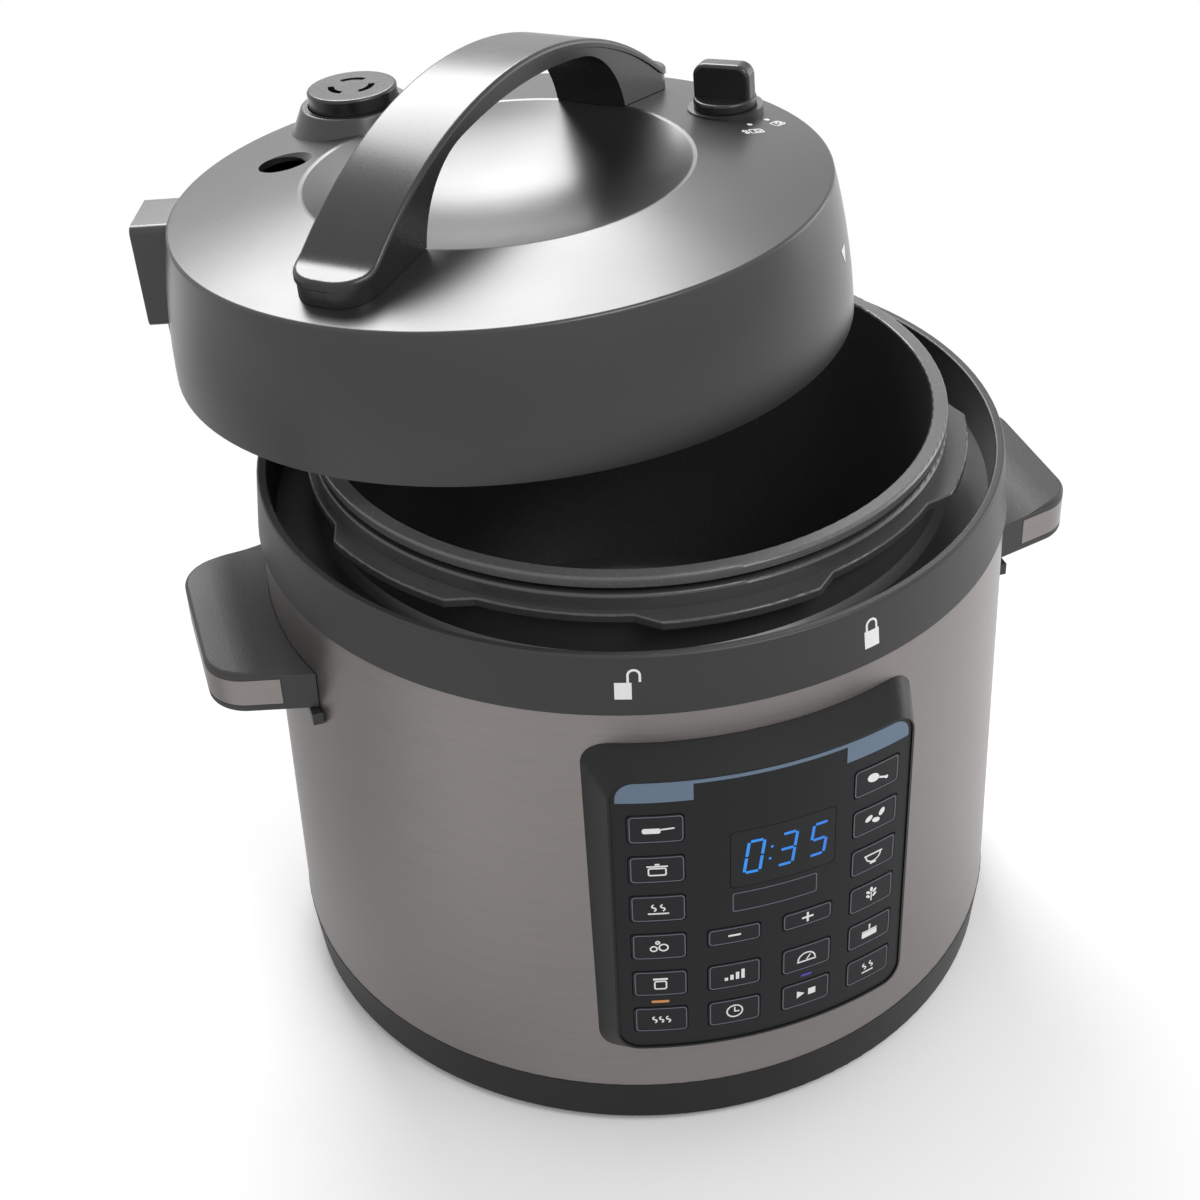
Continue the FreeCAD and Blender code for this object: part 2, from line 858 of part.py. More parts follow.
def make_power_board():
    """Board on the posts of the bottom cover, with its relay and capacitor."""
    x = power_board_length / 2
    y = power_board_width / 2
    top = board_low + board_thickness
    board = box(Vector(-x, -y, board_low), Vector(x, y, top))
    relay_corner = Vector(-x / 2, -y / 2, top)
    relay = box(relay_corner, relay_corner + Vector(relay_size, relay_size, relay_size))
    capacitor = cylinder(capacitor_radius, top, top + capacitor_height, Vector(x / 2, y / 3, 0))
    return board.fuse([relay, capacitor]).removeSplitter()


def make_power_inlet():
    """Three-pin mains socket in the rear of the housing."""
    seat = housing_radius(inlet_height - inlet_opening_height / 2)
    mouth = seat + inlet_flange_thickness
    back = mouth - inlet_depth
    shell = inlet_block(inlet_wall, back - inlet_wall, mouth)
    flange = inlet_block(inlet_wall + inlet_flange, seat - inlet_flange, mouth)
    shell = shell.fuse(flange.cut(housing_solid(fit_gap))).removeSplitter()
    shell = shell.cut(inlet_block(0, back, mouth))
    pins = []
    for across, up in ((-1, -1), (0, 1), (1, -1)):
        x = across * inlet_pin_spread
        z = inlet_height + up * inlet_pin_height / 2
        pins.append(box(
            Vector(x - inlet_pin_width / 2, back - inlet_wall / 2, z - inlet_pin_height / 2),
            Vector(x + inlet_pin_width / 2, back + inlet_pin_length, z + inlet_pin_height / 2),
        ))
    return shell.fuse(pins).removeSplitter()


def handle_plan(inset, low, high, root):
    """Right side handle's outline from above, as a prism between two heights."""
    reach = handle_reach - inset
    end_half = handle_end_half - inset
    root_half = handle_root_half - inset
    corners = [(root, -root_half), (reach, -end_half), (reach, end_half), (root, root_half)]
    plan = prism(corners, low, high)
    return rounded(plan, handle_corner - inset, lambda edge: outer_corner(edge, root))


def outer_corner(edge, root):
    """True for an upright edge away from the root of a handle."""
    return runs_along(edge, Vector(0, 0, 1)) and not same(edge.CenterOfMass.x, root)


def trim_band(inset, margin, start, root):
    """Band let into the side of the right handle."""
    low = handle_bottom + trim_margin - margin
    high = handle_top - trim_margin + margin
    band = handle_plan(0, low, high, root).cut(handle_plan(inset, low, high, root))
    near = Vector(start, -handle_reach, low)
    far = Vector(2 * handle_reach, handle_reach, high)
    return band.common(box(near, far))


def handle_scoop(root):
    """Cutter that lowers the right handle's top towards the housing in an S curve.

    The curve ends a little above the top, so that the cut leaves the top at a clear angle.
    """
    low = handle_top - handle_scoop_depth
    rise = handle_scoop_depth + handle_scoop_lift
    start = housing_radius(handle_top)
    swing = math.acos(1 - rise / (2 * handle_scoop_radius))
    hollow = (start, low + handle_scoop_radius)
    hump = (start + 2 * handle_scoop_radius * math.sin(swing), low + rise - handle_scoop_radius)
    side = outline([
        (root, low),
        (start, low),
        corner_arc(hollow, handle_scoop_radius, -90, math.degrees(swing) - 90),
        corner_arc(hump, handle_scoop_radius, math.degrees(swing) + 90, 90),
        (hump[0], handle_top + handle_thickness),
        (root, handle_top + handle_thickness),
    ])
    return moved(side, Vector(0, -handle_reach, 0)).extrude(Vector(0, 2 * handle_reach, 0))


def make_right_handle():
    """Right side handle with a scooped top, a foot on the housing and a groove for the trim."""
    root = housing_top_radius - handle_corner
    grip = handle_plan(0, handle_bottom, handle_top, root)
    grip = rounded(grip, handle_edge, lambda edge: handle_rim_edge(edge, root))
    foot_low = handle_bottom - handle_foot_drop
    foot_edge = math.sqrt(housing_radius(foot_low) ** 2 - handle_root_half**2) + handle_foot_depth
    foot_corner = Vector(foot_edge, handle_root_half, handle_bottom)
    foot = box(Vector(root, -handle_root_half, foot_low), foot_corner)
    grip = grip.cut(handle_scoop(root)).fuse(foot)
    grip = grip.cut(housing_solid(fit_gap)).removeSplitter()
    grip = grip.cut(trim_band(trim_thickness + fit_gap, fit_gap, trim_start - fit_gap, root))
    return grip.cut(screw_holes(handle_screw_places(), screw_radius + running_gap))


def handle_rim_edge(edge, root):
    """True for the upper and lower outline of the handle, away from its root."""
    middle = edge.CenterOfMass
    at_rim = same(middle.z, handle_top) or same(middle.z, handle_bottom)
    return at_rim and not same(middle.x, root)


def make_right_trim():
    """Steel band in the side of the right handle."""
    return trim_band(trim_thickness, 0, trim_start, housing_top_radius - handle_corner)


def mirrored(shape):
    """Copy of a right piece for the left side."""
    return shape.mirror(Vector(0, 0, 0), Vector(1, 0, 0))


def make_handle_screws():
    """Screws from inside the housing into both handles."""
    right = []
    for head, tip in handle_screw_places():
        right.append(screw(head, tip, screw_head_radius, screw_head_height, screw_radius))
    return Part.makeCompound(right + [mirrored(one) for one in right])


def panel_block(width, low, high, corner=0.0, near=None, far=None):
    """Block on the front radius of the panel, between two radii and two heights."""
    near_radius = liner_outer_radius + slide_gap if near is None else near
    far_radius = face_radius + bezel_proud if far is None else far
    block = radial_box(0, 0, far_radius + 1, width, low, high, corner)
    return block.common(tube(far_radius, near_radius, low, high))


def flank_root(radius, height, face_height):
    """End of a flank inside the housing, on the line from the face through the surface."""
    slope = (face_height - height) / (face_radius - radius)
    return radius - bezel_root, height - slope * bezel_root


def bezel_wedge(low, high):
    """Upright wedge between the two side flanks of the bezel."""
    base_half = bezel_width / 2
    face_half = bezel_face_width / 2
    middle_radius = housing_radius((bezel_top + bezel_bottom) / 2)
    base_y = -math.sqrt(middle_radius**2 - base_half**2)
    face_y = -math.sqrt(face_radius**2 - face_half**2)
    slope = (base_half - face_half) / (base_y - face_y)
    far_y = -(face_radius + bezel_proud)
    far_half = base_half - slope * (base_y - far_y)
    near_y = base_y + bezel_proud
    near_half = base_half + slope * bezel_proud
    corners = [(-near_half, near_y), (-far_half, far_y), (far_half, far_y), (near_half, near_y)]
    return prism(corners, low, high)


def make_panel_bezel():
    """Proud frame with sloping flanks, a pocket for the overlay and a neck through the housing."""
    low_radius, low = flank_root(housing_radius(bezel_bottom), bezel_bottom, face_bottom)
    high_radius, high = flank_root(housing_radius(bezel_top), bezel_top, face_top)
    flanks = spun([
        (liner_outer_radius, low),
        (low_radius, low),
        (face_radius, face_bottom),
        (face_radius, face_top),
        (high_radius, high),
        (liner_outer_radius, high),
    ])
    block = rounded(flanks.common(bezel_wedge(low, high)), bezel_corner, bezel_corner_edge)
    block = block.cut(housing_solid(fit_gap))
    neck_near = housing_radius(bezel_bottom) - neck_depth
    neck_far = face_radius - overlay_sunk - 2 * overlay_thickness
    neck = panel_block(window_width, window_bottom, window_top, 0, neck_near, neck_far)
    pocket_low = overlay_bottom - fit_gap
    pocket_high = overlay_top + fit_gap
    pocket_near = overlay_inner - fit_gap
    pocket_width = overlay_width + 2 * fit_gap
    pocket = panel_block(pocket_width, pocket_low, pocket_high, overlay_corner, pocket_near)
    hollow = panel_block(hollow_width, hollow_bottom, hollow_top)
    return block.fuse(neck).removeSplitter().cut([pocket, hollow])


def bezel_corner_edge(edge):
    """True for the sloping edges between the side and end flanks of the bezel."""
    ends = [math.hypot(vertex.X, vertex.Y) for vertex in edge.Vertexes]
    reaches_face = any(same(end, face_radius) for end in ends)
    return reaches_face and len(ends) == 2 and not same(ends[0], ends[1])


def key_places():
    """Name, angle, middle height and height of every key."""
    places = []
    for row in range(key_rows):
        middle = first_row - key_pitch * row
        places.append((f"left_key_{row + 1}", arc_angle(-outer_column), middle, key_height))
        places.append((f"right_key_{row + 1}", arc_angle(outer_column), middle, key_height))
    step = first_row - key_pitch * step_row
    places.append(("minus_key", arc_angle(-inner_column), step, step_key_height))
    places.append(("plus_key", arc_angle(inner_column), step, step_key_height))
    names = (("level_key", "manual_key"), ("delay_key", "start_key"))
    for index, (left, right) in enumerate(names):
        middle = first_row - key_pitch * (key_rows - len(names) + index)
        places.append((left, arc_angle(-inner_column), middle, key_height))
        places.append((right, arc_angle(inner_column), middle, key_height))
    return places


def arc_angle(length):
    """Angle of a length along the panel's face."""
    return math.degrees(length / face_radius)


def key_block(angle, middle, height, near, far, grow):
    """Key-shaped block on a radius between two panel radii."""
    half = height / 2 + grow
    block = radial_box(angle, 0, far + 1, key_width + 2 * grow, middle - half, middle + half, key_corner)
    return block.common(tube(far, near, middle - half, middle + half))


def make_key(angle, middle, height):
    """Key pad in its window, with a flange behind the overlay."""
    pad = key_block(angle, middle, height, key_flange_inner, key_outer, 0)
    flange = key_block(angle, middle, height, key_flange_inner, key_flange_outer, key_flange)
    return pad.fuse(flange).removeSplitter()


def display_block(width, height, near, far):
    """Block on the panel at the display."""
    low = display_middle - height / 2
    block = radial_box(arc_angle(display_offset), 0, far + 1, width, low, low + height, key_corner)
    return block.common(tube(far, near, low, low + height))


def make_keypad_overlay():
    """Thin face of the panel with the windows of the keys and the display."""
    sheet = panel_block(
        overlay_width, overlay_bottom, overlay_top, overlay_corner, overlay_inner, overlay_outer
    )
    near = overlay_inner - fit_gap
    far = overlay_outer + fit_gap
    windows = []
    for _, angle, middle, height in key_places():
        windows.append(key_block(angle, middle, height, near, far, slide_gap))
    width = display_width + 2 * fit_gap
    height = display_height + 2 * fit_gap
    windows.append(display_block(width, height, near, far))
    return sheet.cut(windows)


def make_display_window():
    """Smoked window over the digits, flush with the overlay."""
    return display_block(display_width, display_height, overlay_inner, overlay_outer)


def module_box(grow):
    """Box of the display module between the board and the window."""
    half = display_width / 2 - module_margin + grow
    tall = display_height / 2 - module_margin + grow
    front = math.sqrt((overlay_inner - thermal_gap) ** 2 - (half + display_offset) ** 2)
    return box(
        Vector(display_offset - half, -front - grow, display_middle - tall),
        Vector(display_offset + half, -board_front, display_middle + tall),
    )


def make_display_module():
    """Digit module on the control board."""
    return module_box(0)


def make_keypad_mat():
    """Silicone sheet behind the keys, open at the display."""
    low = hollow_bottom + slide_gap
    high = hollow_top - slide_gap
    sheet = panel_block(mat_width, low, high, 0, mat_inner, mat_outer)
    opening = display_block(display_width, display_height, mat_inner - fit_gap, mat_outer + fit_gap)
    return sheet.cut(opening)


def make_control_board():
    """Flat board behind the keypad mat."""
    x = control_board_width / 2
    low = hollow_bottom + slide_gap
    high = hollow_top - slide_gap
    return box(Vector(-x, -board_front, low), Vector(x, -board_back, high))


def lid_outer():
    """Steps of the lid's outer outline, from the skirt's bottom to the axis."""
    sphere = (dish_radius**2 + dish_depth**2) / (2 * dish_depth)
    half = dish_radius / 2
    dish_middle = (half, dish_bottom + sphere - math.sqrt(sphere**2 - half**2))
    return [
        (skirt_radius, 0),
        ((skirt_middle_radius, skirt_height / 2), (crease_radius, skirt_height)),
        (dish_radius, dish_rim_height),
        (dish_middle, (0, dish_bottom)),
    ]


def lid_envelope(lift):
    """Filled lid that the handle's feet are cut back from."""
    solid = spun(lid_outer() + [(0, 0)])
    return moved(solid, Vector(0, 0, lift))


def lid_inner():
    """Steps of the lid's inner outline, from the axis to the skirt's bottom."""
    sphere = (dish_radius**2 + dish_depth**2) / (2 * dish_depth)
    half = dish_radius / 2
    dish_middle = (half, dish_bottom - lid_wall + sphere - math.sqrt(sphere**2 - half**2))
    skirt_middle = (skirt_middle_radius - lid_wall, skirt_height / 2)
    return [
        (0, dish_bottom - lid_wall),
        (dish_middle, (dish_radius, dish_rim_height - lid_wall)),
        (crease_radius - lid_wall, skirt_height - lid_wall),
        (skirt_middle, (skirt_radius - lid_wall, 0)),
    ]


def make_lid_cover():
    """Plastic lid with its skirt, dish, valve boss, knob boss, rear lug and screw posts."""
    shell = spun(lid_outer() + lid_inner())
    shell = rounded(shell, crease_round, lambda edge: circle_at(edge, crease_radius, skirt_height))
    shell = rounded(shell, dish_round, lambda edge: circle_at(edge, dish_radius, dish_rim_height))
    hollow = spun(lid_inner() + [(0, 0)])
    knob = polar(knob_circle, knob_angle)
    knob_low = knob_seat - knob_boss_depth
    additions = [valve_boss().cut(hollow), lug_block().cut(hollow)]
    additions.append(cylinder(knob_boss_radius, knob_low, knob_seat, knob))
    post_top = annulus_height(inner_screw_circle) - lid_wall / 2
    additions += [cylinder(boss_radius, inner_lid_top, post_top, place) for place in lid_screw_places()]
    return shell.fuse(additions).removeSplitter().cut(lid_cuts())


def valve_boss():
    """Sloping seat of the steam valve on the lid."""
    valve = polar(valve_circle, valve_angle, skirt_height)
    boss = Part.makeCone(valve_boss_bottom_radius, valve_boss_top_radius, valve_boss_height, valve)
    return rounded(boss, lid_wall / 2, lambda edge: rim_at(edge, valve_boss_top))


def lid_cuts():
    """Openings of the lid cover for the valve, the float, the knob and the screws."""
    valve = polar(valve_circle, valve_angle)
    knob = polar(knob_circle, knob_angle)
    float_at = polar(float_circle, float_angle)
    float_top = annulus_height(float_circle)
    mouth_low = Vector(float_at.x, float_at.y, float_top - lid_wall / 2)
    pilot = screw_radius * lid_screw_scale + running_gap
    cuts = [
        cylinder(valve_cap_radius + thermal_gap, valve_floor, valve_boss_top, valve),
        cylinder(pipe_radius + 3 * thermal_gap, 0, valve_floor, valve),
        cylinder(float_hole_radius, inner_lid_top, float_top, float_at),
        Part.makeCone(float_hole_radius, float_hole_radius + 2 * lid_wall, 2 * lid_wall, mouth_low),
        cylinder(knob_shaft_radius + running_gap, 0, knob_seat, knob),
    ]
    for place in lid_screw_places():
        cuts.append(cylinder(pilot, inner_lid_top, inner_lid_top + screw_grip, place))
    return cuts


def lid_screw_places():
    """Axes of the screws of the inner lid."""
    step = 360 / inner_screw_count
    angles = [inner_screw_offset + step * index for index in range(inner_screw_count)]
    return [polar(inner_screw_circle, angle) for angle in angles]


def lug_block():
    """Lug on the back of the skirt, with a narrower step below it."""
    low = lug_block_lift + lug_block_step
    reach = lug_block_reach
    high = skirt_height - crease_round
    block = radial_box(lug_block_angle, dish_radius, reach, lug_block_width, low, high, lug_block_corner)
    near = reach - lug_block_step / 2
    width = lug_block_step_width
    middle = skirt_height / 2
    step = radial_box(lug_block_angle, dish_radius, near, width, lug_block_lift, middle, lug_block_corner)
    return block.fuse(step)


def grip_top(drop):
    """Steps of the handle's upper outline along the lid, lowered by a drop."""
    crown = skirt_height + grip_crown - drop
    foot = skirt_height + grip_foot - drop
    end = skirt_height + grip_foot_end - drop
    return [
        (-grip_half_length, end),
        (-grip_arc_half, foot),
        ((0, crown), (grip_arc_half, foot)),
        (grip_half_length, end),
    ]


def grip_plan(width):
    """Rounded outline of the handle from above, through its whole height."""
    high = skirt_height + grip_crown + grip_foot
    block = box(Vector(-grip_half_length, -width / 2, 0), Vector(grip_half_length, width / 2, high))
    return rounded(block, grip_corner, lambda edge: runs_along(edge, Vector(0, 0, 1)))


def grip_band(points, width):
    """Outline in the plane of the handle, as a band of a width."""
    return moved(outline(points).extrude(Vector(0, width, 0)), Vector(0, -width / 2, 0))


def blended(band):
    """Handle band with the hollow between its arc and its feet rounded."""
    return rounded(band, grip_blend, grip_hollow_edge)


def grip_hollow_edge(edge):
    """True for the crosswise edges between the handle's arc and its feet."""
    crosswise = runs_along(edge, Vector(0, 1, 0))
    return crosswise and same(abs(edge.CenterOfMass.x), grip_arc_half)


def make_grip_cover():
    """Upper shell of the lid handle."""
    upper = grip_top(0)
    left_end, left_foot, (crown, right_foot), right_end = grip_top(grip_cover_thickness)
    lower = [right_end, right_foot, (crown, left_foot), left_end]
    band = blended(grip_band(upper + lower, grip_width)).common(grip_plan(grip_width))
    return rounded(band, grip_edge, grip_upper_edge)


def grip_upper_edge(edge):
    """True for the upper outline of the handle's cover."""
    first = edge.FirstParameter
    last = edge.LastParameter
    return all(on_grip_top(edge.valueAt(at)) for at in (first, (first + last) / 2, last))


def on_grip_top(point):
    """True for a point on the upper surface of the handle and on its outline from above."""
    rise = grip_crown - grip_foot
    bend = (grip_arc_half**2 + rise**2) / (2 * rise)
    x = abs(point.x)
    if x <= grip_arc_half:
        height = skirt_height + grip_crown - bend + math.sqrt(bend**2 - x**2)
    else:
        share = (x - grip_arc_half) / (grip_half_length - grip_arc_half)
        height = skirt_height + grip_foot + share * (grip_foot_end - grip_foot)
    side = grip_width / 2 - abs(point.y)
    end = grip_half_length - x
    on_outline = min(side, end) < grip_edge / 30 or max(side, end) < grip_corner / 3
    return abs(point.z - height) < grip_cover_thickness / 3 and on_outline


def make_grip_base():
    """Lower half of the lid handle, with the arch that the fingers go under."""
    width = grip_width - 2 * grip_side_step
    low = skirt_height
    points = grip_top(grip_cover_thickness + fit_gap) + [
        (grip_half_length, low),
        (arch_half_span, low),
        (arch_half_span, low + arch_spring),
        ((arch_shoulder, low + arch_shoulder_height), (arch_haunch, low + arch_haunch_height)),
        ((0, low + arch_crown), (-arch_haunch, low + arch_haunch_height)),
        ((-arch_shoulder, low + arch_shoulder_height), (-arch_half_span, low + arch_spring)),
        (-arch_half_span, low),
        (-grip_half_length, low),
    ]
    return blended(grip_band(points, width)).common(grip_plan(width)).cut(lid_envelope(fit_gap))


def rim_radius(height):
    """Outer radius of the inner lid's rim, just inside the lid's skirt."""
    draft = (skirt_radius - skirt_middle_radius) / (skirt_height / 2)
    return skirt_radius - lid_wall - rim_gap - draft * height


def make_inner_lid():
    """Steel disc with a rim that carries the bayonet lugs, the float's guide and the relief cage."""
    wall = inner_rim_wall
    disc = spun([
        (0, inner_lid_height),
        (rim_radius(inner_lid_height) - wall, inner_lid_height),
        (rim_radius(lug_bottom) - wall, lug_bottom),
        (rim_radius(lug_bottom), lug_bottom),
        (rim_radius(inner_lid_top), inner_lid_top),
        (0, inner_lid_top),
    ])
    reach = rim_radius(lug_top) - wall / 2
    ring = tube(reach, lug_inner_radius, lug_bottom, lug_top)
    width = 2 * reach * math.sin(math.radians(lug_angle / 2))
    lug = ring.common(radial_box(lug_offset, recess_radius, reach, width, lug_bottom, lug_top))
    additions = [turned(lug, 360 / lobe_count * index) for index in range(lobe_count)]
    float_at = polar(float_circle, float_angle)
    guide_radius = float_pin_radius + running_gap + float_guide_wall
    additions.append(cylinder(guide_radius, inner_lid_top, float_rest, float_at))
    cage_top = inner_lid_top + relief_cage_height
    additions.append(cylinder(relief_seat + relief_cage_wall, inner_lid_top, cage_top))
    cuts = [
        cylinder(relief_hole_radius, inner_lid_height, inner_lid_top),
        cylinder(relief_seat, inner_lid_top, cage_top),
        cylinder(float_pin_radius + running_gap, inner_lid_height, float_rest, float_at),
        cylinder(pipe_radius + fit_gap, inner_lid_height, inner_lid_top, polar(valve_circle, valve_angle)),
    ]
    hole = screw_radius * lid_screw_scale + fit_gap
    cuts += [cylinder(hole, inner_lid_height, inner_lid_top, place) for place in lid_screw_places()]
    return disc.fuse(additions).removeSplitter().cut(cuts)


def make_sealing_ring():
    """Silicone ring over the pot's lip, with a lip of its own on the inside."""
    lip = (seal_outer_radius - seal_inner_radius) / 4
    middle = (seal_bottom + seal_top) / 2
    return spun([
        (seal_inner_radius, seal_bottom),
        (seal_outer_radius, seal_bottom),
        (seal_outer_radius, seal_top),
        (seal_inner_radius, seal_top),
        (seal_inner_radius, middle + lip / 2),
        (seal_inner_radius + lip, middle),
        (seal_inner_radius, middle - lip / 2),
    ])


def make_seal_rack():
    """Wire ring inside the seal, on clips under the inner lid."""
    height = seal_top - rack_wire - lid_wall
    ring = Part.makeTorus(rack_radius, rack_wire, Vector(0, 0, height))
    clips = []
    for index in range(rack_clip_count):
        place = polar(rack_radius, 360 / rack_clip_count * index)
        clips.append(cylinder(rack_clip_wire, height, inner_lid_height, place))
    return ring.fuse(clips).removeSplitter()


def make_lid_screws():
    """Screws from below the inner lid into the bosses of the cover."""
    screws = []
    for place in lid_screw_places():
        head = Vector(place.x, place.y, inner_lid_height - screw_head_height)
        tip = Vector(place.x, place.y, inner_lid_top + screw_grip - screw_radius)
        shank = screw_radius * lid_screw_scale
        screws.append(screw(head, tip, screw_head_radius, screw_head_height, shank))
    return Part.makeCompound(screws)


def make_vent_pipe():
    """Steam pipe through the inner lid, with a flange on top of it."""
    place = polar(valve_circle, valve_angle)
    low = inner_lid_height - pipe_tail
    pipe = cylinder(pipe_radius, low, pipe_top, place)
    flange_high = inner_lid_top + pipe_flange_thickness
    flange = cylinder(pipe_flange_radius, inner_lid_top, flange_high, place)
    return pipe.fuse(flange).removeSplitter().cut(cylinder(pipe_bore, low, pipe_top, place))


def make_anti_block_shield():
    """Pierced cap over the lower end of the vent pipe."""
    place = polar(valve_circle, valve_angle)
    low = inner_lid_height - shield_height
    cap = cylinder(shield_radius, low, inner_lid_height, place)
    cap = cap.cut(cylinder(shield_radius - shield_wall, low + shield_wall, inner_lid_height, place))
    middle = Vector(place.x, place.y, low + shield_height / 2)
    holes = []
    for index in range(shield_hole_count):
        way = polar(1, 360 / shield_hole_count * index)
        holes.append(Part.makeCylinder(shield_hole, shield_radius + shield_wall, middle, way))
    return cap.cut(holes)


def make_valve_weight():
    """Steam valve weight on the vent pipe, with three slots in its top."""
    place = polar(valve_circle, valve_angle)
    top = skirt_height + valve_cap_top
    low = valve_floor + slide_gap
    weight = cylinder(valve_cap_radius, low, top, place)
    weight = rounded(weight, valve_slot_depth / 2, lambda edge: rim_at(edge, top))
    slot_low = top - valve_slot_depth
    half = valve_slot_width / 2
    ring = tube(valve_slot_radius + half, valve_slot_radius - half, slot_low, top)
    slot = ring.common(slot_wedge(slot_low, top))
    slots = []
    for index in range(valve_slot_count):
        slots.append(moved(turned(slot, 360 / valve_slot_count * index), place))
    socket = cylinder(pipe_radius + running_gap, low, pipe_top + slide_gap, place)
    return weight.cut(slots + [socket])


def slot_wedge(low, high):
    """Sector that bounds one slot of the valve weight."""
    reach = 2 * valve_slot_radius
    half = valve_slot_sweep / 2
    left = polar(reach, -half)
    right = polar(reach, half)
    return prism([(0, 0), (left.x, left.y), (right.x, right.y)], low, high)


def make_float_pin():
    """Float pin in its guide, low because the pot holds no pressure."""
    place = polar(float_circle, float_angle)
    low = inner_lid_height - float_travel - fit_gap - float_seal_height
    head_low = float_rest + fit_gap
    pin = cylinder(float_pin_radius, low, head_low, place)
    head = cylinder(float_head_radius, head_low, head_low + float_head_height, place)
    foot = cylinder(float_seal_radius, low - float_seal_height / 3, low, place)
    return pin.fuse([head, foot]).removeSplitter()


def make_float_seal():
    """Silicone washer at the foot of the float pin."""
    place = polar(float_circle, float_angle)
    low = inner_lid_height - float_travel - fit_gap - float_seal_height
    return tube(float_seal_radius, float_pin_radius + running_gap, low, low + float_seal_height, place)


def make_release_knob():
    """Steam release knob: a disc with a wing."""
    place = polar(knob_circle, knob_angle)
    low = knob_seat + slide_gap
    disc_top = low + knob_disc_height
    disc = cylinder(knob_radius, low, disc_top, place)
    disc = rounded(disc, knob_disc_height / 3, lambda edge: rim_at(edge, disc_top))
    wing = moved(turned(knob_wing(disc_top), knob_angle + wing_angle), place)
    shaft_hole = cylinder(knob_shaft_radius + running_gap, low, low + knob_shaft_grip, place)
    return disc.fuse(wing).removeSplitter().cut(shaft_hole)


def knob_wing(disc_top):
    """Wing that the fingers turn, along X over the knob's disc."""
    half = Vector(wing_length / 2, wing_thickness / 2, 0)
    low = disc_top - knob_disc_height / 2
    top = disc_top + wing_height
    wing = box(Vector(-half.x, -half.y, low), Vector(half.x, half.y, top))
    wing = rounded(wing, wing_corner, lambda edge: across_top(edge, top))
    return rounded(wing, wing_edge, lambda edge: wing_rim(edge, disc_top))


def across_top(edge, top):
    """True for the crosswise edges at the top of the knob's wing."""
    return runs_along(edge, Vector(0, 1, 0)) and same(edge.CenterOfMass.z, top)


def wing_rim(edge, disc_top):
    """True for the edges round the two broad faces of the wing, above the disc."""
    middle = edge.CenterOfMass
    return same(abs(middle.y), wing_thickness / 2) and middle.z > disc_top


def make_knob_shaft():
    """Shaft of the knob with the cam that lifts the steam valve."""
    place = polar(knob_circle, knob_angle)
    top = knob_seat + slide_gap + knob_shaft_grip - fit_gap
    low = knob_seat - knob_shaft_length
    shaft = cylinder(knob_shaft_radius, low, top, place)
    cam_low = low - cam_thickness
    cam = cylinder(cam_radius, cam_low, low, place)
    arm_way = polar(1, knob_angle + wing_angle)
    arm_length = cam_reach - cam_radius
    half = cam_radius / 2
    arm = cylinder(half, cam_low, low, place + arm_way * arm_length)
    web = box(Vector(0, -half, cam_low), Vector(arm_length, half, low))
    web = moved(turned(web, knob_angle + wing_angle - 90), place)
    return shaft.fuse([cam, arm, web]).removeSplitter()


def make_relief_ball():
    """Ball on the hole in the middle of the inner lid, that opens at too high a pressure."""
    return Part.makeSphere(relief_ball_radius, Vector(0, 0, relief_height))


def make_relief_spring():
    """Spring between the relief ball and the underside of the dish."""
    low = relief_height + relief_ball_radius
    high = dish_bottom - lid_wall - fit_gap
    return coil(relief_spring_radius, relief_spring_wire, low, high, relief_spring_turns)


def lid_placement():
    """Where the lifted lid hovers over the body."""
    way = math.atan2(lid_rest_back, lid_rest_right)
    lean_axis = Vector(-math.sin(way), math.cos(way), 0)
    spot = Vector(lid_rest_right, lid_rest_back, collar_top + lid_rest_rise)
    lean = Rotation(lean_axis, lid_lean)
    return Placement(spot, lean.multiply(Rotation(Vector(0, 0, 1), lid_spin)))


def hovering(shape):
    """A piece of the lid, moved from the lid's frame to its place."""
    copy = shape.copy()
    copy.Placement = lid_placement().multiply(copy.Placement)
    return copy


def body_pieces():
    """Every piece of the body, by name."""
    right_handle = make_right_handle()
    right_trim = make_right_trim()
    pieces = {
        "housing": make_housing(),
        "collar": make_collar(),
        "base_ring": make_base_ring(),
        "bottom_cover": make_bottom_cover(),
        "feet": make_feet(),
        "base_screws": make_base_screws(),
        "pressure_liner": make_liner(),
        "inner_pot": make_inner_pot(),
        "heating_plate": make_heating_plate(),
        "heating_element": make_heating_element(),
        "sensor_button": make_sensor_button(),
        "sensor_spring": make_sensor_spring(),
        "pressure_switch": make_pressure_switch(),
        "power_board": make_power_board(),
        "power_inlet": make_power_inlet(),
        "right_handle": right_handle,
        "left_handle": mirrored(right_handle),
        "right_trim": right_trim,
        "left_trim": mirrored(right_trim),
        "handle_screws": make_handle_screws(),
        "panel_bezel": make_panel_bezel(),
        "keypad_overlay": make_keypad_overlay(),
        "display_window": make_display_window(),
        "display_module": make_display_module(),
        "keypad_mat": make_keypad_mat(),
        "control_board": make_control_board(),
    }
    for name, angle, middle, height in key_places():
        pieces[name] = make_key(angle, middle, height)
    return pieces


def lid_pieces():
    """Every piece of the lid in the lid's own frame, by name."""
    return {
        "lid_cover": make_lid_cover(),
        "grip_cover": make_grip_cover(),
        "grip_base": make_grip_base(),
        "inner_lid": make_inner_lid(),
        "sealing_ring": make_sealing_ring(),
        "seal_rack": make_seal_rack(),
        "lid_screws": make_lid_screws(),
        "vent_pipe": make_vent_pipe(),
        "anti_block_shield": make_anti_block_shield(),
        "valve_weight": make_valve_weight(),
        "float_pin": make_float_pin(),
        "float_seal": make_float_seal(),
        "release_knob": make_release_knob(),
        "knob_shaft": make_knob_shaft(),
        "relief_ball": make_relief_ball(),
        "relief_spring": make_relief_spring(),
    }


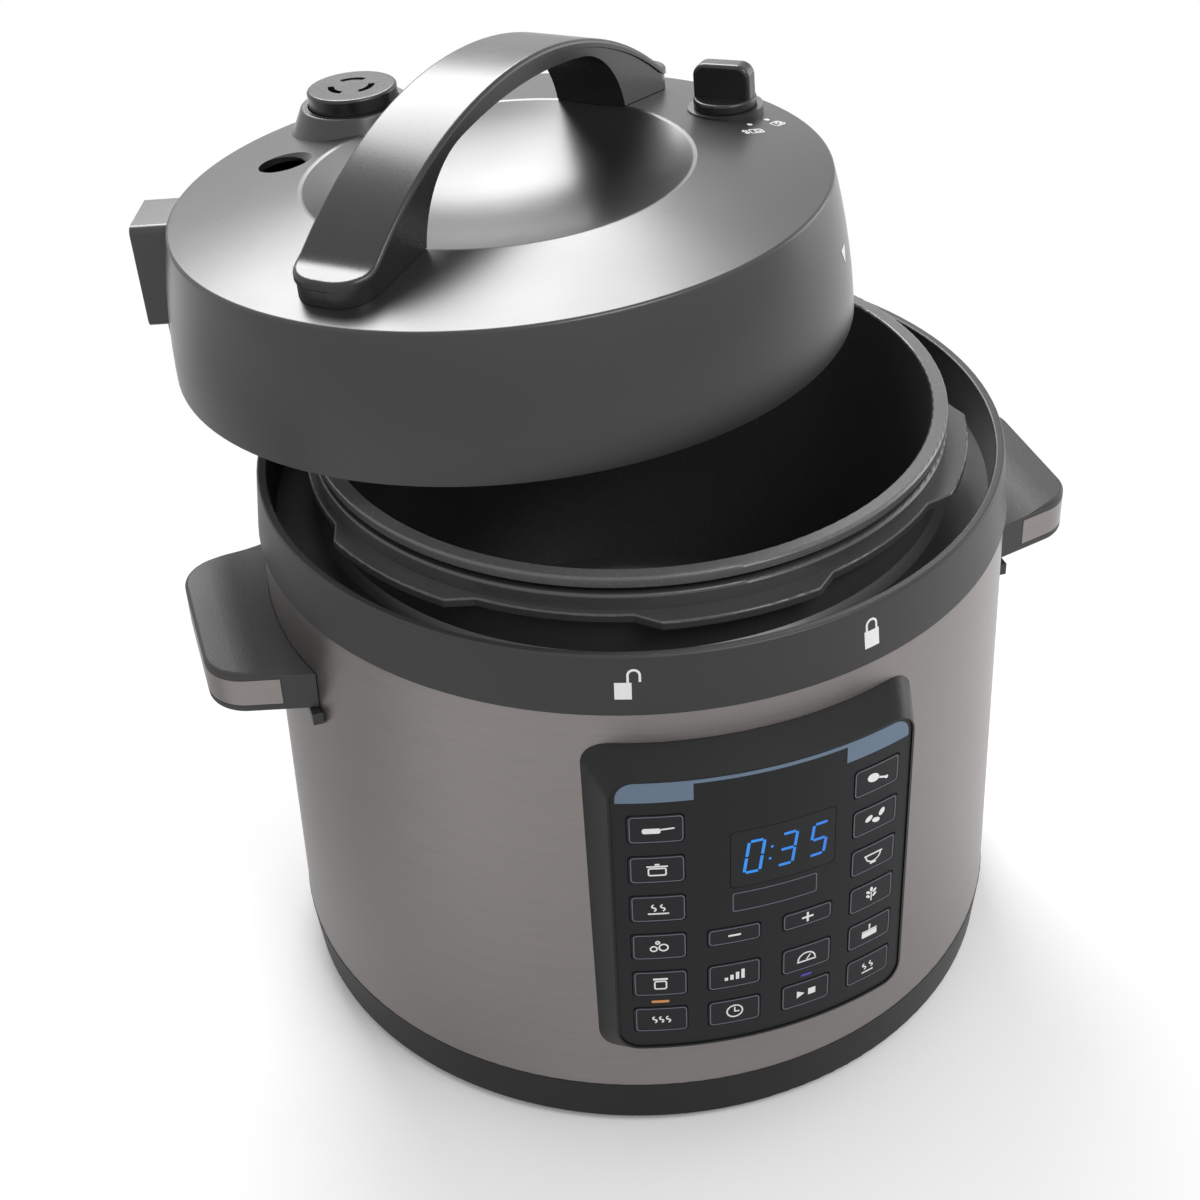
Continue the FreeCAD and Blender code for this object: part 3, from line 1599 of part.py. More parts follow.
os.makedirs("parts", exist_ok=True)
pieces = body_pieces()
for name, shape in lid_pieces().items():
    pieces[name] = hovering(shape)
for name, shape in pieces.items():
    print(name, "valid" if shape.isValid() else "NOT VALID", len(shape.Solids), round(shape.Volume))
    shape.exportStep(f"parts/{name}.step")
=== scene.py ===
"""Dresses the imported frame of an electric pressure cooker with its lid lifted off."""

import json
import logging
import math
from dataclasses import dataclass
from enum import Enum
from typing import ClassVar

import bpy
from mathutils import Matrix, Vector


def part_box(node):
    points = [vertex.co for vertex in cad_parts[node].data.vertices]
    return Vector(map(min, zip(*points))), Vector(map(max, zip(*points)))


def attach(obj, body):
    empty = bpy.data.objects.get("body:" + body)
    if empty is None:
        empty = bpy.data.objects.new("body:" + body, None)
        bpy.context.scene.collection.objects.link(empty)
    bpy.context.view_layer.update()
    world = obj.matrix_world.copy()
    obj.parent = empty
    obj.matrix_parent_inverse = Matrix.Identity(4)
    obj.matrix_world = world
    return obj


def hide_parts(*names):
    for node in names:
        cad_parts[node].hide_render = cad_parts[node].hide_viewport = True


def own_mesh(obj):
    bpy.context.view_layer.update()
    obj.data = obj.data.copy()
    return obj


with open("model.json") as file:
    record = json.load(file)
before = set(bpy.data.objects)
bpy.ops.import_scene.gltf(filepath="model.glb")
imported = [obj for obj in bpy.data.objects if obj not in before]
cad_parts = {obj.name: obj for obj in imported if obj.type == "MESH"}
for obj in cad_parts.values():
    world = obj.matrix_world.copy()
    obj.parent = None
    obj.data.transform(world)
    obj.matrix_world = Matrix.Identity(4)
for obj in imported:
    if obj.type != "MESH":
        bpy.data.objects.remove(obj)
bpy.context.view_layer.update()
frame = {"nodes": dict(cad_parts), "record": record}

MM = 0.001
LOG = logging.getLogger("cooker")

# Detail of a noise, from soft to broken up.
SMOOTH, GRAINY, PLAIN, CLOUDY = 1.0, 2.0, 3.0, 4.0

BLACK = (0.0, 0.0, 0.0)
WHITE = (1.0, 1.0, 1.0)

Colour = tuple[float, float, float]
Shades = tuple[float, float]


class Wire:
    """A shader socket that Python's operators can be used on."""

    def __init__(self, shader: "Shader", socket: bpy.types.NodeSocket) -> None:
        """Wrap one output socket of a shader."""
        self.shader = shader
        self.socket = socket

    def __add__(self, other: "Value") -> "Wire":
        """Sum of two values."""
        return self.shader.math("ADD", self, other)

    def __sub__(self, other: "Value") -> "Wire":
        """Difference of two values."""
        return self.shader.math("SUBTRACT", self, other)

    def __rsub__(self, other: "Value") -> "Wire":
        """Difference with the wire on the right."""
        return self.shader.math("SUBTRACT", other, self)

    def __mul__(self, other: "Value") -> "Wire":
        """Product of two values."""
        return self.shader.math("MULTIPLY", self, other)

    def __truediv__(self, other: "Value") -> "Wire":
        """Quotient of two values."""
        return self.shader.math("DIVIDE", self, other)

    def __rtruediv__(self, other: "Value") -> "Wire":
        """Quotient with the wire below."""
        return self.shader.math("DIVIDE", other, self)

    def __pow__(self, other: "Value") -> "Wire":
        """Power of a value."""
        return self.shader.math("POWER", self, other)

    def __gt__(self, other: "Value") -> "Wire":
        """1 where the value is greater."""
        return self.shader.math("GREATER_THAN", self, other)

    __radd__ = __add__
    __rmul__ = __mul__

    def clamped(self) -> "Wire":
        """The value kept between 0 and 1."""
        return self.shader.wire("ShaderNodeClamp", {}, {"Value": self})


Value = Wire | float


class Shader:
    """Builds the node tree of a material or of the world."""

    def __init__(self, owner: bpy.types.Material | bpy.types.World) -> None:
        """Start an empty tree.

        Args:
            owner: Material or world that the tree belongs to.
        """
        owner.use_nodes = True
        self.owner = owner
        self.tree = owner.node_tree
        self.tree.nodes.clear()

    def node(self, kind: str, settings: dict, inputs: dict) -> bpy.types.Node:
        """Add a node.

        Args:
            kind: Type of the node.
            settings: Properties of the node, set first.
            inputs: Values or wires of its sockets, by name or place.

        Returns:
            The node.
        """
        node = self.tree.nodes.new(kind)
        for key, setting in settings.items():
            setattr(node, key, setting)
        for key, value in inputs.items():
            if isinstance(value, Wire):
                self.tree.links.new(value.socket, node.inputs[key])
            else:
                node.inputs[key].default_value = value
        return node

    def wire(self, kind: str, settings: dict, inputs: dict, out: str | int = 0) -> Wire:
        """Add a node and return one of its outputs."""
        return Wire(self, self.node(kind, settings, inputs).outputs[out])

    def math(self, operation: str, first: Value, second: Value = 0.0) -> Wire:
        """Add a Math node and return its output."""
        return self.wire("ShaderNodeMath", {"operation": operation}, {0: first, 1: second})

    def place(self) -> Wire:
        """Object coordinates, in metres of the shared frame."""
        return self.wire("ShaderNodeTexCoord", {}, {}, "Object")

    def axes(self) -> tuple[Wire, Wire, Wire]:
        """The three Object coordinates apart."""
        split = self.node("ShaderNodeSeparateXYZ", {}, {"Vector": self.place()})
        return tuple(Wire(self, split.outputs[axis]) for axis in "XYZ")

    def joined(self, x: Value, y: Value, z: Value) -> Wire:
        """Vector of three values."""
        return self.wire("ShaderNodeCombineXYZ", {}, {"X": x, "Y": y, "Z": z})

    def radius(self) -> Wire:
        """Distance from the upright axis."""
        x, y, _ = self.axes()
        return (x * x + y * y) ** 0.5

    def noise(self, where: Wire, scale: float, detail: float = PLAIN) -> Wire:
        """Noise value between 0 and 1 at a vector."""
        inputs = {"Vector": where, "Scale": scale, "Detail": detail}
        return self.wire("ShaderNodeTexNoise", {}, inputs)

    def cells(self, where: Wire, scale: float) -> Wire:
        """Distance to the nearest cell centre at a vector."""
        return self.wire("ShaderNodeTexVoronoi", {}, {"Vector": where, "Scale": scale}, "Distance")

    def blend(self, share: Value, first: Colour, second: Colour) -> Wire:
        """Colour between two colours."""
        inputs = {0: share, 6: (*first, 1.0), 7: (*second, 1.0)}
        return self.wire("ShaderNodeMix", {"data_type": "RGBA"}, inputs, 2)

    def mottled(self, share: Value, colour: Colour, shades: Shades) -> Wire:
        """Colour that varies between a darker and a lighter shade of itself."""
        dark, light = shades
        return self.blend(share, tinted(colour, dark), tinted(colour, light))

    def seamless(self, strip: float) -> Wire:
        """Normal without the crease where a turned face of the base starts and ends.

        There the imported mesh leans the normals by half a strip, so they are turned back.

        Args:
            strip: Width of the face's first and last strip, in degrees.

        Returns:
            The normal.
        """
        x, y, _ = self.axes()
        along = self.math("ARCTAN2", y, x)
        width = math.radians(strip)
        lean = (1.0 - self.math("ABSOLUTE", along) / width).clamped() * (width / 2)
        normal = self.wire("ShaderNodeNewGeometry", {}, {}, "Normal")
        inputs = {"Vector": normal, "Angle": lean * self.math("SIGN", along) * -1.0}
        return self.wire("ShaderNodeVectorRotate", {"rotation_type": "Z_AXIS"}, inputs)

    def bump(self, height: Wire, depth: float, strength: float, strip: float = 0.0) -> Wire:
        """Normal of a height map.

        Args:
            height: Height, from 0 to 1.
            depth: Full height in metres.
            strength: Share of the height that shows.
            strip: Width of a strip at the seam of a turned face, or 0 for no seam.

        Returns:
            The normal.
        """
        inputs = {"Height": height, "Distance": depth, "Strength": strength}
        if strip:
            inputs["Normal"] = self.seamless(strip)
        return self.wire("ShaderNodeBump", {}, inputs)

    def surface(self, sockets: dict) -> bpy.types.Material:
        """End the tree in a principled surface.

        Args:
            sockets: Values or wires of the surface's sockets.

        Returns:
            The finished material.
        """
        return self.ended(self.wire("ShaderNodeBsdfPrincipled", {}, sockets))

    def emission(self, colour: Wire | Colour) -> Wire:
        """Light of a colour at a strength of 1."""
        shown = colour if isinstance(colour, Wire) else (*colour, 1.0)
        return self.wire("ShaderNodeEmission", {}, {"Color": shown, "Strength": 1.0})

    def matt(self, colour: Colour) -> Wire:
        """Plain matt surface."""
        return self.wire("ShaderNodeBsdfDiffuse", {}, {"Color": (*colour, 1.0)})

    def mixed(self, share: Wire, first: Wire, second: Wire) -> Wire:
        """Surface between two surfaces."""
        return self.wire("ShaderNodeMixShader", {}, {0: share, 1: first, 2: second})

    def ended(self, surface: Wire) -> bpy.types.Material:
        """End the tree in a surface and return its material."""
        self.node("ShaderNodeOutputMaterial", {}, {"Surface": surface})
        return self.owner


def shader_for(name: str) -> Shader:
    """Shader of a new material."""
    return Shader(bpy.data.materials.new(name))


def tinted(colour: Colour, share: float) -> Colour:
    """Colour made lighter or darker by a share."""
    red, green, blue = colour
    return red * share, green * share, blue * share


def swing(value: Wire, width: float) -> Wire:
    """Value from 0 to 1 made to swing round 0 by a full width."""
    return (value - 0.5) * width


def layered(first: Wire, second: Wire, share: float) -> Wire:
    """Two values laid over each other, with the second one's share."""
    return first * (1 - share) + second * share


@dataclass(frozen=True)
class MouldedPlastic:
    """Moulded plastic with a fine spark-eroded grain and faint handling marks.

    The grain is the size of a pit in metres, and depth is how deep the pits are.
    """

    name: str
    colour: Colour
    roughness: float
    grain: float = 0.0006
    depth: float = 0.00002
    strength: float = 0.25
    gloss: float = 0.5
    strip: float = 0.0
    shades: Shades = (0.86, 1.14)
    cloud_scale: float = 22.0
    cloud_swing: float = 0.10
    fine_rate: float = 1.5
    fine_swing: float = 0.06
    fine_share: float = 0.4
    fine_relief: float = 0.3

    def material(self) -> bpy.types.Material:
        """Make the material.

        Returns:
            The finished material.
        """
        shader = shader_for(self.name)
        where = shader.place()
        pits = shader.cells(where, 1.0 / self.grain)
        cloud = shader.noise(where, self.cloud_scale, CLOUDY)
        fine = shader.noise(where, self.fine_rate / self.grain, GRAINY)
        wear = swing(cloud, self.cloud_swing) + swing(fine, self.fine_swing)
        tone = layered(cloud, fine, self.fine_share)
        relief = layered(pits, fine, self.fine_relief)
        return shader.surface({
            "Base Color": shader.mottled(tone, self.colour, self.shades),
            "Roughness": self.roughness + wear,
            "Specular IOR Level": self.gloss,
            "Normal": shader.bump(relief, self.depth, self.strength, self.strip),
        })


class BrushedRun(Enum):
    """How fast the fine and the wide brush lines change along three axes.

    The axes are the angle, the height and the radius where the lines run round, or X, Y and Z.
    """

    ROUND = ((9.0, 3200.0, 900.0), (3.0, 420.0, 60.0))
    LEVEL = ((60.0, 60.0, 3200.0), (20.0, 20.0, 420.0))


@dataclass(frozen=True)
class BrushedSteel:
    """Brushed steel with fine streaks along one direction."""

    name: str
    colour: Colour
    roughness: float
    run: BrushedRun = BrushedRun.ROUND
    strip: float = 0.0
    shades: Shades = (0.80, 1.18)
    wide_share: float = 0.35
    streak_swing: float = 0.26
    smudge_scale: float = 9.0
    smudge_swing: float = 0.08
    stretch: float = 0.5
    stretch_turn: float = 0.25
    depth: float = 0.00003
    strength: float = 0.35

    def material(self) -> bpy.types.Material:
        """Make the material.

        Returns:
            The finished material.
        """
        shader = shader_for(self.name)
        x, y, z = axes = shader.axes()
        if self.run is BrushedRun.ROUND:
            axes = (shader.math("ARCTAN2", y, x), z, shader.radius())
        fine, wide = (
            shader.joined(*(axis * rate for axis, rate in zip(axes, rates)))
            for rates in self.run.value)
        streak = layered(shader.noise(fine, 1.0), shader.noise(wide, 1.0, CLOUDY), self.wide_share)
        smudge = shader.noise(shader.place(), self.smudge_scale)
        wear = swing(streak, self.streak_swing) + swing(smudge, self.smudge_swing)
        return shader.surface({
            "Base Color": shader.mottled(streak, self.colour, self.shades),
            "Metallic": 1.0,
            "Roughness": self.roughness + wear,
            "Anisotropic": self.stretch,
            "Anisotropic Rotation": self.stretch_turn,
            "Normal": shader.bump(streak, self.depth, self.strength, self.strip),
        })


@dataclass(frozen=True)
class SatinMetal:
    """Turned, pressed or cast metal with faint lathe rings and blotches."""

    name: str
    colour: Colour
    roughness: float
    metallic: float = 1.0
    rings: float = 0.0
    shades: Shades = (0.84, 1.16)
    cloud_scale: float = 30.0
    cloud_swing: float = 0.14
    fine_scale: float = 900.0
    fine_share: float = 0.5
    ring_rate: float = 1600.0
    ring_swing: float = 0.2
    depth: float = 0.00001
    strength: float = 0.2

    def material(self) -> bpy.types.Material:
        """Make the material.

        Returns:
            The finished material.
        """
        shader = shader_for(self.name)
        where = shader.place()
        cloud = shader.noise(where, self.cloud_scale, CLOUDY)
        fine = shader.noise(where, self.fine_scale, GRAINY)
        rings = shader.joined(shader.radius() * self.ring_rate, 0.0, 0.0)
        turned = shader.noise(rings, 1.0, GRAINY)
        mark = layered(cloud, fine, self.fine_share) + swing(turned, self.rings)
        wear = swing(cloud, self.cloud_swing) + swing(turned, self.ring_swing * self.rings)
        return shader.surface({
            "Base Color": shader.mottled(mark.clamped(), self.colour, self.shades),
            "Metallic": self.metallic,
            "Roughness": self.roughness + wear,
            "Normal": shader.bump(fine, self.depth, self.strength),
        })


@dataclass(frozen=True)
class NonStick:
    """Sprayed non-stick coat with tiny pale specks."""

    name: str
    colour: Colour
    speck: Colour
    roughness: float
    speck_scale: float = 1150.0
    speck_level: float = 0.60
    speck_share: float = 0.45
    cloud_scale: float = 26.0
    cloud_swing: float = 0.12
    peel_scale: float = 380.0
    peel_depth: float = 0.00003
    peel_strength: float = 0.22
    coat: float = 0.5
    coat_roughness: float = 0.26

    def material(self) -> bpy.types.Material:
        """Make the material.

        Returns:
            The finished material.
        """
        shader = shader_for(self.name)
        where = shader.place()
        specks = shader.noise(where, self.speck_scale, GRAINY) > self.speck_level
        cloud = swing(shader.noise(where, self.cloud_scale, CLOUDY), self.cloud_swing)
        peel = shader.noise(where, self.peel_scale)
        return shader.surface({
            "Base Color": shader.blend(specks * self.speck_share + cloud, self.colour, self.speck),
            "Roughness": self.roughness + cloud,
            "Normal": shader.bump(peel, self.peel_depth, self.peel_strength),
            "Coat Weight": self.coat,
            "Coat Roughness": self.coat_roughness,
        })


@dataclass(frozen=True)
class Rubber:
    """Silicone or rubber with a dusty, mottled skin."""

    name: str
    colour: Colour
    roughness: float
    shades: Shades = (0.85, 1.12)
    cloud_scale: float = 60.0
    cloud_swing: float = 0.15
    skin_scale: float = 1100.0
    skin_depth: float = 0.00004
    skin_strength: float = 0.3

    def material(self) -> bpy.types.Material:
        """Make the material.

        Returns:
            The finished material.
        """
        shader = shader_for(self.name)
        where = shader.place()
        cloud = shader.noise(where, self.cloud_scale, CLOUDY)
        skin = shader.noise(where, self.skin_scale, GRAINY)
        return shader.surface({
            "Base Color": shader.mottled(cloud, self.colour, self.shades),
            "Roughness": self.roughness + swing(cloud, self.cloud_swing),
            "Normal": shader.bump(skin, self.skin_depth, self.skin_strength),
        })


@dataclass(frozen=True)
class Ink:
    """Screen-printed ink, a little uneven."""

    name: str
    colour: Colour
    roughness: float = 0.5
    shades: Shades = (0.88, 1.0)
    weave_scale: float = 1500.0
    weave_swing: float = 0.1

    def material(self) -> bpy.types.Material:
        """Make the material.

        Returns:
            The finished material.
        """
        shader = shader_for(self.name)
        weave = shader.noise(shader.place(), self.weave_scale, GRAINY)
        return shader.surface({
            "Base Color": shader.mottled(weave, self.colour, self.shades),
            "Roughness": self.roughness + swing(weave, self.weave_swing),
        })


@dataclass(frozen=True)
class Glow:
    """Lit mark of a display or a lamp, which drifts to another colour towards the right."""

    name: str
    colour: Colour
    far_colour: Colour
    strength: float
    start: float = -0.011
    run: float = 0.032
    flicker_scale: float = 240.0
    flicker_share: float = 0.2
    unlit_shade: float = 0.4
    roughness: float = 0.4

    def material(self) -> bpy.types.Material:
        """Make the material.

        Returns:
            The finished material.
        """
        shader = shader_for(self.name)
        x, _, _ = shader.axes()
        drift = ((x - self.start) / self.run).clamped()
        flicker = shader.noise(shader.place(), self.flicker_scale, GRAINY)
        share = layered(drift, flicker, self.flicker_share)
        return shader.surface({
            "Base Color": (*tinted(self.colour, self.unlit_shade), 1.0),
            "Roughness": self.roughness,
            "Emission Color": shader.blend(share, self.colour, self.far_colour),
            "Emission Strength": self.strength,
        })


@dataclass(frozen=True)
class SmokedWindow:
    """Dark glossy window with a faint tint and dust."""

    name: str
    colour: Colour
    roughness: float
    gloss: float = 0.25
    shades: Shades = (0.8, 1.3)
    cloud_scale: float = 40.0
    dust_scale: float = 500.0
    dust_share: float = 0.12

    def material(self) -> bpy.types.Material:
        """Make the material.

        Returns:
            The finished material.
        """
        shader = shader_for(self.name)
        where = shader.place()
        dust = shader.noise(where, self.dust_scale)
        cloud = shader.noise(where, self.cloud_scale, GRAINY)
        return shader.surface({
            "Base Color": shader.mottled(cloud, self.colour, self.shades),
            "Roughness": self.roughness + dust * self.dust_share,
            "Specular IOR Level": self.gloss,
        })


@dataclass(frozen=True)
class CircuitBoard:
    """Lacquered board with traces."""

    name: str
    colour: Colour
    trace: Colour
    roughness: float = 0.35
    line_scale: float = 90.0
    line_count: float = 30.0
    line_level: float = 0.7
    line_share: float = 0.6
    line_swing: float = 0.1

    def material(self) -> bpy.types.Material:
        """Make the material.

        Returns:
            The finished material.
        """
        shader = shader_for(self.name)
        lines = shader.noise(shader.place(), self.line_scale, SMOOTH)
        track = shader.math("PINGPONG", lines * self.line_count, 1.0) > self.line_level
        return shader.surface({
            "Base Color": shader.blend(track * self.line_share, self.colour, self.trace),
            "Roughness": self.roughness + swing(lines, self.line_swing),
        })


class Finishes:
    """Every finish of the cooker, each made once."""

    catalogue: ClassVar[tuple] = (
        BrushedSteel("brushed_housing", (0.255, 0.237, 0.230), 0.36, strip=4.0),
        BrushedSteel("brushed_trim", (0.27, 0.25, 0.24), 0.36, BrushedRun.LEVEL),
        MouldedPlastic("collar_plastic", (0.020, 0.020, 0.021), 0.42, 0.0005, strip=3.8),
        MouldedPlastic("base_plastic", (0.010, 0.010, 0.0105), 0.44, gloss=0.2),
        MouldedPlastic("handle_plastic", (0.028, 0.028, 0.028), 0.50, 0.0011, 0.00012, 0.55),
        MouldedPlastic("lid_shell", (0.018, 0.018, 0.0187), 0.30, 0.0005, 0.00001, 0.2, 0.70),
        MouldedPlastic("lid_fitting", (0.011, 0.011, 0.0115), 0.27, 0.0005, 0.00001, 0.2, 0.55),
        MouldedPlastic("bezel_plastic", (0.009, 0.009, 0.0095), 0.34, gloss=0.28),
        MouldedPlastic("overlay_film", (0.010, 0.0104, 0.0115), 0.42, 0.0008, 0.00001, 0.2, 0.22),
        MouldedPlastic("key_film", (0.0115, 0.012, 0.0135), 0.42, 0.0008, 0.00001, 0.2, 0.22),
        MouldedPlastic("socket_plastic", (0.012, 0.012, 0.012), 0.45, 0.0007),
        SmokedWindow("smoked_glass", (0.009, 0.0094, 0.0105), 0.36),
        NonStick("pot_coat", (0.075, 0.075, 0.077), (0.13, 0.13, 0.13), 0.32),
        SatinMetal("liner_coat", (0.080, 0.080, 0.082), 0.29, 0.3, 0.2),
        SatinMetal("pressed_steel", (0.52, 0.52, 0.52), 0.34, 1.0, 0.5),
        # Near-black colour for the steel float pin is painted shade, so that its head does not
        # catch the back softbox's highlight.
        SatinMetal("painted_shade_pin_metal", (0.030, 0.030, 0.031), 0.60, 0.3, 0.3),
        SatinMetal("cast_plate", (0.46, 0.46, 0.47), 0.45, 1.0, 0.8),
        SatinMetal("bright_wire", (0.62, 0.62, 0.62), 0.22, 1.0, 0.1),
        Rubber("milky_silicone", (0.62, 0.62, 0.59), 0.55),
        Rubber("dark_rubber", (0.018, 0.018, 0.018), 0.75),
        CircuitBoard("lacquered_board", (0.02, 0.12, 0.05), (0.05, 0.25, 0.10)),
        Ink("white_ink", (0.90, 0.90, 0.90)),
        Ink("line_ink", (0.13, 0.135, 0.18)),
        Ink("tab_ink", (0.13, 0.19, 0.27)),
        Glow("blue_digits", (0.012, 0.21, 0.62), (0.016, 0.115, 0.50), 1.0),
        Glow("amber_lamp", (0.40, 0.16, 0.045), (0.40, 0.16, 0.045), 1.0),
        Glow("violet_lamp", (0.035, 0.03, 0.22), (0.035, 0.03, 0.22), 1.0),
    )

    def __init__(self) -> None:
        """Make all materials of the catalogue."""
        self.made = {finish.name: finish.material() for finish in self.catalogue}

    def dress(self, piece: bpy.types.Object, name: str) -> None:
        """Give a piece one finish all over.

        Args:
            piece: Piece with or without material slots.
            name: Name of the finish.
        """
        if not piece.data.materials:
            piece.data.materials.append(None)
        for slot in piece.material_slots:
            slot.material = self.made[name]


class Bench:
    """Modelling steps that act on one piece at a time."""

    weld_gap: ClassVar[float] = 0.001

    @staticmethod
    def weld() -> None:
        """Merge the doubled vertices of the piece that is being edited."""
        bpy.ops.mesh.select_all(action="SELECT")
        bpy.ops.mesh.remove_doubles(threshold=Bench.weld_gap * MM)

    @staticmethod
    def pick(piece: bpy.types.Object) -> None:
        """Select one piece and make it active.

        Args:
            piece: Piece that the next operators act on.
        """
        bpy.ops.object.select_all(action="DESELECT")
        piece.select_set(True)
        bpy.context.view_layer.objects.active = piece

    @staticmethod
    def settle(piece: bpy.types.Object) -> None:
        """Put a piece's place into its mesh."""
        Bench.pick(piece)
        bpy.ops.object.transform_apply(location=True, rotation=True, scale=True)

    @staticmethod
    def apply(piece: bpy.types.Object, kind: str, settings: dict) -> None:
        """Add a modifier and apply it.

        Args:
            piece: Piece to change.
            kind: Type of the modifier.
            settings: Properties of the modifier.
        """
        Bench.pick(piece)
        modifier = piece.modifiers.new(kind.lower(), kind)
        for key, value in settings.items():
            setattr(modifier, key, value)
        bpy.ops.object.modifier_apply(modifier=modifier.name)


class Mark(Enum):
    """Simple shapes that prints are drawn from, each named after its method of Stencil."""

    BAR = "bar"
    DISC = "disc"
    RING = "ring"
    FRAME = "frame"
    PLATE = "plate"
    TAB = "tab"
    HALF_RING = "half_ring"
    TRIANGLE = "triangle"


Stroke = tuple[Mark, tuple[float, ...]]
Strokes = tuple[Stroke, ...]

PEN = 0.55
WAVE_RADIUS = 0.95


def wave(x: float, y: float) -> tuple[Stroke, Stroke]:
    """Upright wave made of two half rings.

    Args:
        x: Middle of the wave across.
        y: Middle of the wave upwards.

    Returns:
        Its two strokes.
    """
    upper = (Mark.HALF_RING, (x, y + WAVE_RADIUS - PEN / 2, WAVE_RADIUS, PEN, 180.0))
    lower = (Mark.HALF_RING, (x, y - WAVE_RADIUS + PEN / 2, WAVE_RADIUS, PEN, 0.0))
    return upper, lower


VALVE = (
    (Mark.FRAME, (0.0, 0.0, 5.6, 4.4, 0.5, 0.9)),
    (Mark.FRAME, (0.6, 0.0, 2.6, 2.4, 0.5, 0.4)),
)


class Icon(Enum):
    """Pictograms in millimetres, each drawn round its middle."""

    PAN = ((Mark.PLATE, (-1.6, -0.6, 6.2, 2.2, 0.8)), (Mark.BAR, (3.8, 0.1, 4.6, 0.6, 5.0)))
    SLOW_POT = (
        (Mark.FRAME, (0.0, -0.9, 6.4, 3.6, PEN, 0.8)),
        (Mark.BAR, (0.0, 1.5, 7.2, 0.6)),
        (Mark.BAR, (0.0, 2.4, 1.6, 0.7)),
    )
    SIMMER = ((Mark.BAR, (0.0, -2.2, 7.2, 0.6)), *wave(-1.5, 0.5), *wave(1.5, 0.5))
    BOIL = (
        (Mark.RING, (-2.0, -0.9, 1.4, PEN)),
        (Mark.RING, (1.4, -0.4, 1.8, PEN)),
        (Mark.RING, (-0.6, 2.0, 0.9, PEN)),
    )
    JAR = ((Mark.FRAME, (0.0, -0.7, 4.6, 4.2, PEN, 0.9)), (Mark.PLATE, (0.0, 2.2, 5.2, 0.9, 0.3)))
    WARM = (*wave(-2.4, 0.0), *wave(0.0, 0.0), *wave(2.4, 0.0))
    DRUMSTICK = (
        (Mark.DISC, (-1.6, 0.5, 5.0, 3.6, -20.0)),
        (Mark.BAR, (2.2, -1.0, 2.8, 0.8, -22.0)),
        (Mark.DISC, (4.1, -1.8, 1.4, 1.4)),
    )
    BEANS = (
        (Mark.DISC, (-2.7, 0.5, 3.4, 2.1, 35.0)),
        (Mark.DISC, (0.4, -1.3, 3.4, 2.1, -20.0)),
        (Mark.DISC, (2.8, 1.3, 3.4, 2.1, 60.0)),
    )
    BOWL = (
        (Mark.HALF_RING, (0.0, 0.9, 3.4, PEN, 270.0)),
        (Mark.BAR, (0.0, 1.2, 7.8, 0.6)),
        (Mark.BAR, (0.0, -2.9, 2.6, 0.6)),
    )
    GRAINS = (
        (Mark.BAR, (0.0, -1.2, 0.45, 4.0)),
        (Mark.DISC, (0.0, 2.2, 1.2, 2.2)),
        (Mark.DISC, (-1.4, 1.2, 2.1, 1.1, -40.0)),
        (Mark.DISC, (1.4, 1.2, 2.1, 1.1, 40.0)),
        (Mark.DISC, (-1.4, -0.7, 2.1, 1.1, -40.0)),
        (Mark.DISC, (1.4, -0.7, 2.1, 1.1, 40.0)),
    )
    CAKE = (
        (Mark.PLATE, (0.0, -1.4, 6.6, 2.4, 0.4)),
        (Mark.BAR, (0.0, 0.3, 6.6, 0.5)),
        (Mark.BAR, (0.0, 1.4, 0.6, 1.4)),
        (Mark.DISC, (0.0, 2.7, 0.9, 1.1)),
    )
    STEAM = (*wave(-1.5, 0.6), *wave(1.5, 0.6), (Mark.BAR, (0.0, -2.3, 5.0, 0.6)))
    MINUS = ((Mark.BAR, (0.0, 0.0, 4.4, 0.8)),)
    PLUS = (
        (Mark.BAR, (0.0, 0.0, 4.4, 0.8)),
        (Mark.BAR, (0.0, 1.3, 0.8, 1.8)),
        (Mark.BAR, (0.0, -1.3, 0.8, 1.8)),
    )
    LEVEL = (
        (Mark.BAR, (-3.0, -1.4, 1.2, 1.4)),
        (Mark.BAR, (-1.0, -0.9, 1.2, 2.4)),
        (Mark.BAR, (1.0, -0.4, 1.2, 3.4)),
        (Mark.BAR, (3.0, 0.1, 1.2, 4.4)),
    )
    GAUGE = (
        (Mark.HALF_RING, (0.0, -1.2, 3.6, PEN, 90.0)),
        (Mark.BAR, (0.7, -0.2, 0.5, 2.4, -36.0)),
        (Mark.BAR, (0.0, -1.8, 7.4, 0.6)),
    )
    CLOCK = (
        (Mark.RING, (0.0, 0.0, 3.1, PEN)),
        (Mark.BAR, (0.0, 0.85, 0.5, 2.2)),
        (Mark.BAR, (0.85, -0.25, 1.7, 0.5)),
    )
    START = ((Mark.TRIANGLE, (-2.5, 0.0, 2.0, -90.0)), (Mark.BAR, (2.4, 0.0, 2.9, 2.9)))
    PADLOCK_OPEN = (
        (Mark.BAR, (0.0, 0.0, 5.6, 6.2)),
        (Mark.HALF_RING, (3.57, 5.85, 2.35, 0.8, 90.0)),
        (Mark.BAR, (1.62, 4.5, 0.8, 2.75)),
        (Mark.BAR, (5.52, 4.6, 0.8, 2.5)),
    )
    PADLOCK_SHUT = (
        (Mark.BAR, (0.0, 0.0, 6.0, 6.4)),
        (Mark.HALF_RING, (0.0, 5.3, 2.4, 0.8, 90.0)),
        (Mark.BAR, (-2.0, 4.25, 0.8, 2.1)),
        (Mark.BAR, (2.0, 4.25, 0.8, 2.1)),
    )
    ARROW_DOWN = ((Mark.TRIANGLE, (0.0, 0.0, 4.1, 180.0)),)
    DOT = ((Mark.DISC, (0.0, 0.0, 2.2, 2.2)),)
    VALVE_SHUT = VALVE
    VALVE_OPEN = (*VALVE, (Mark.RING, (-4.4, 0.9, 1.1, 0.45)), (Mark.RING, (-4.2, -1.1, 0.9, 0.45)))


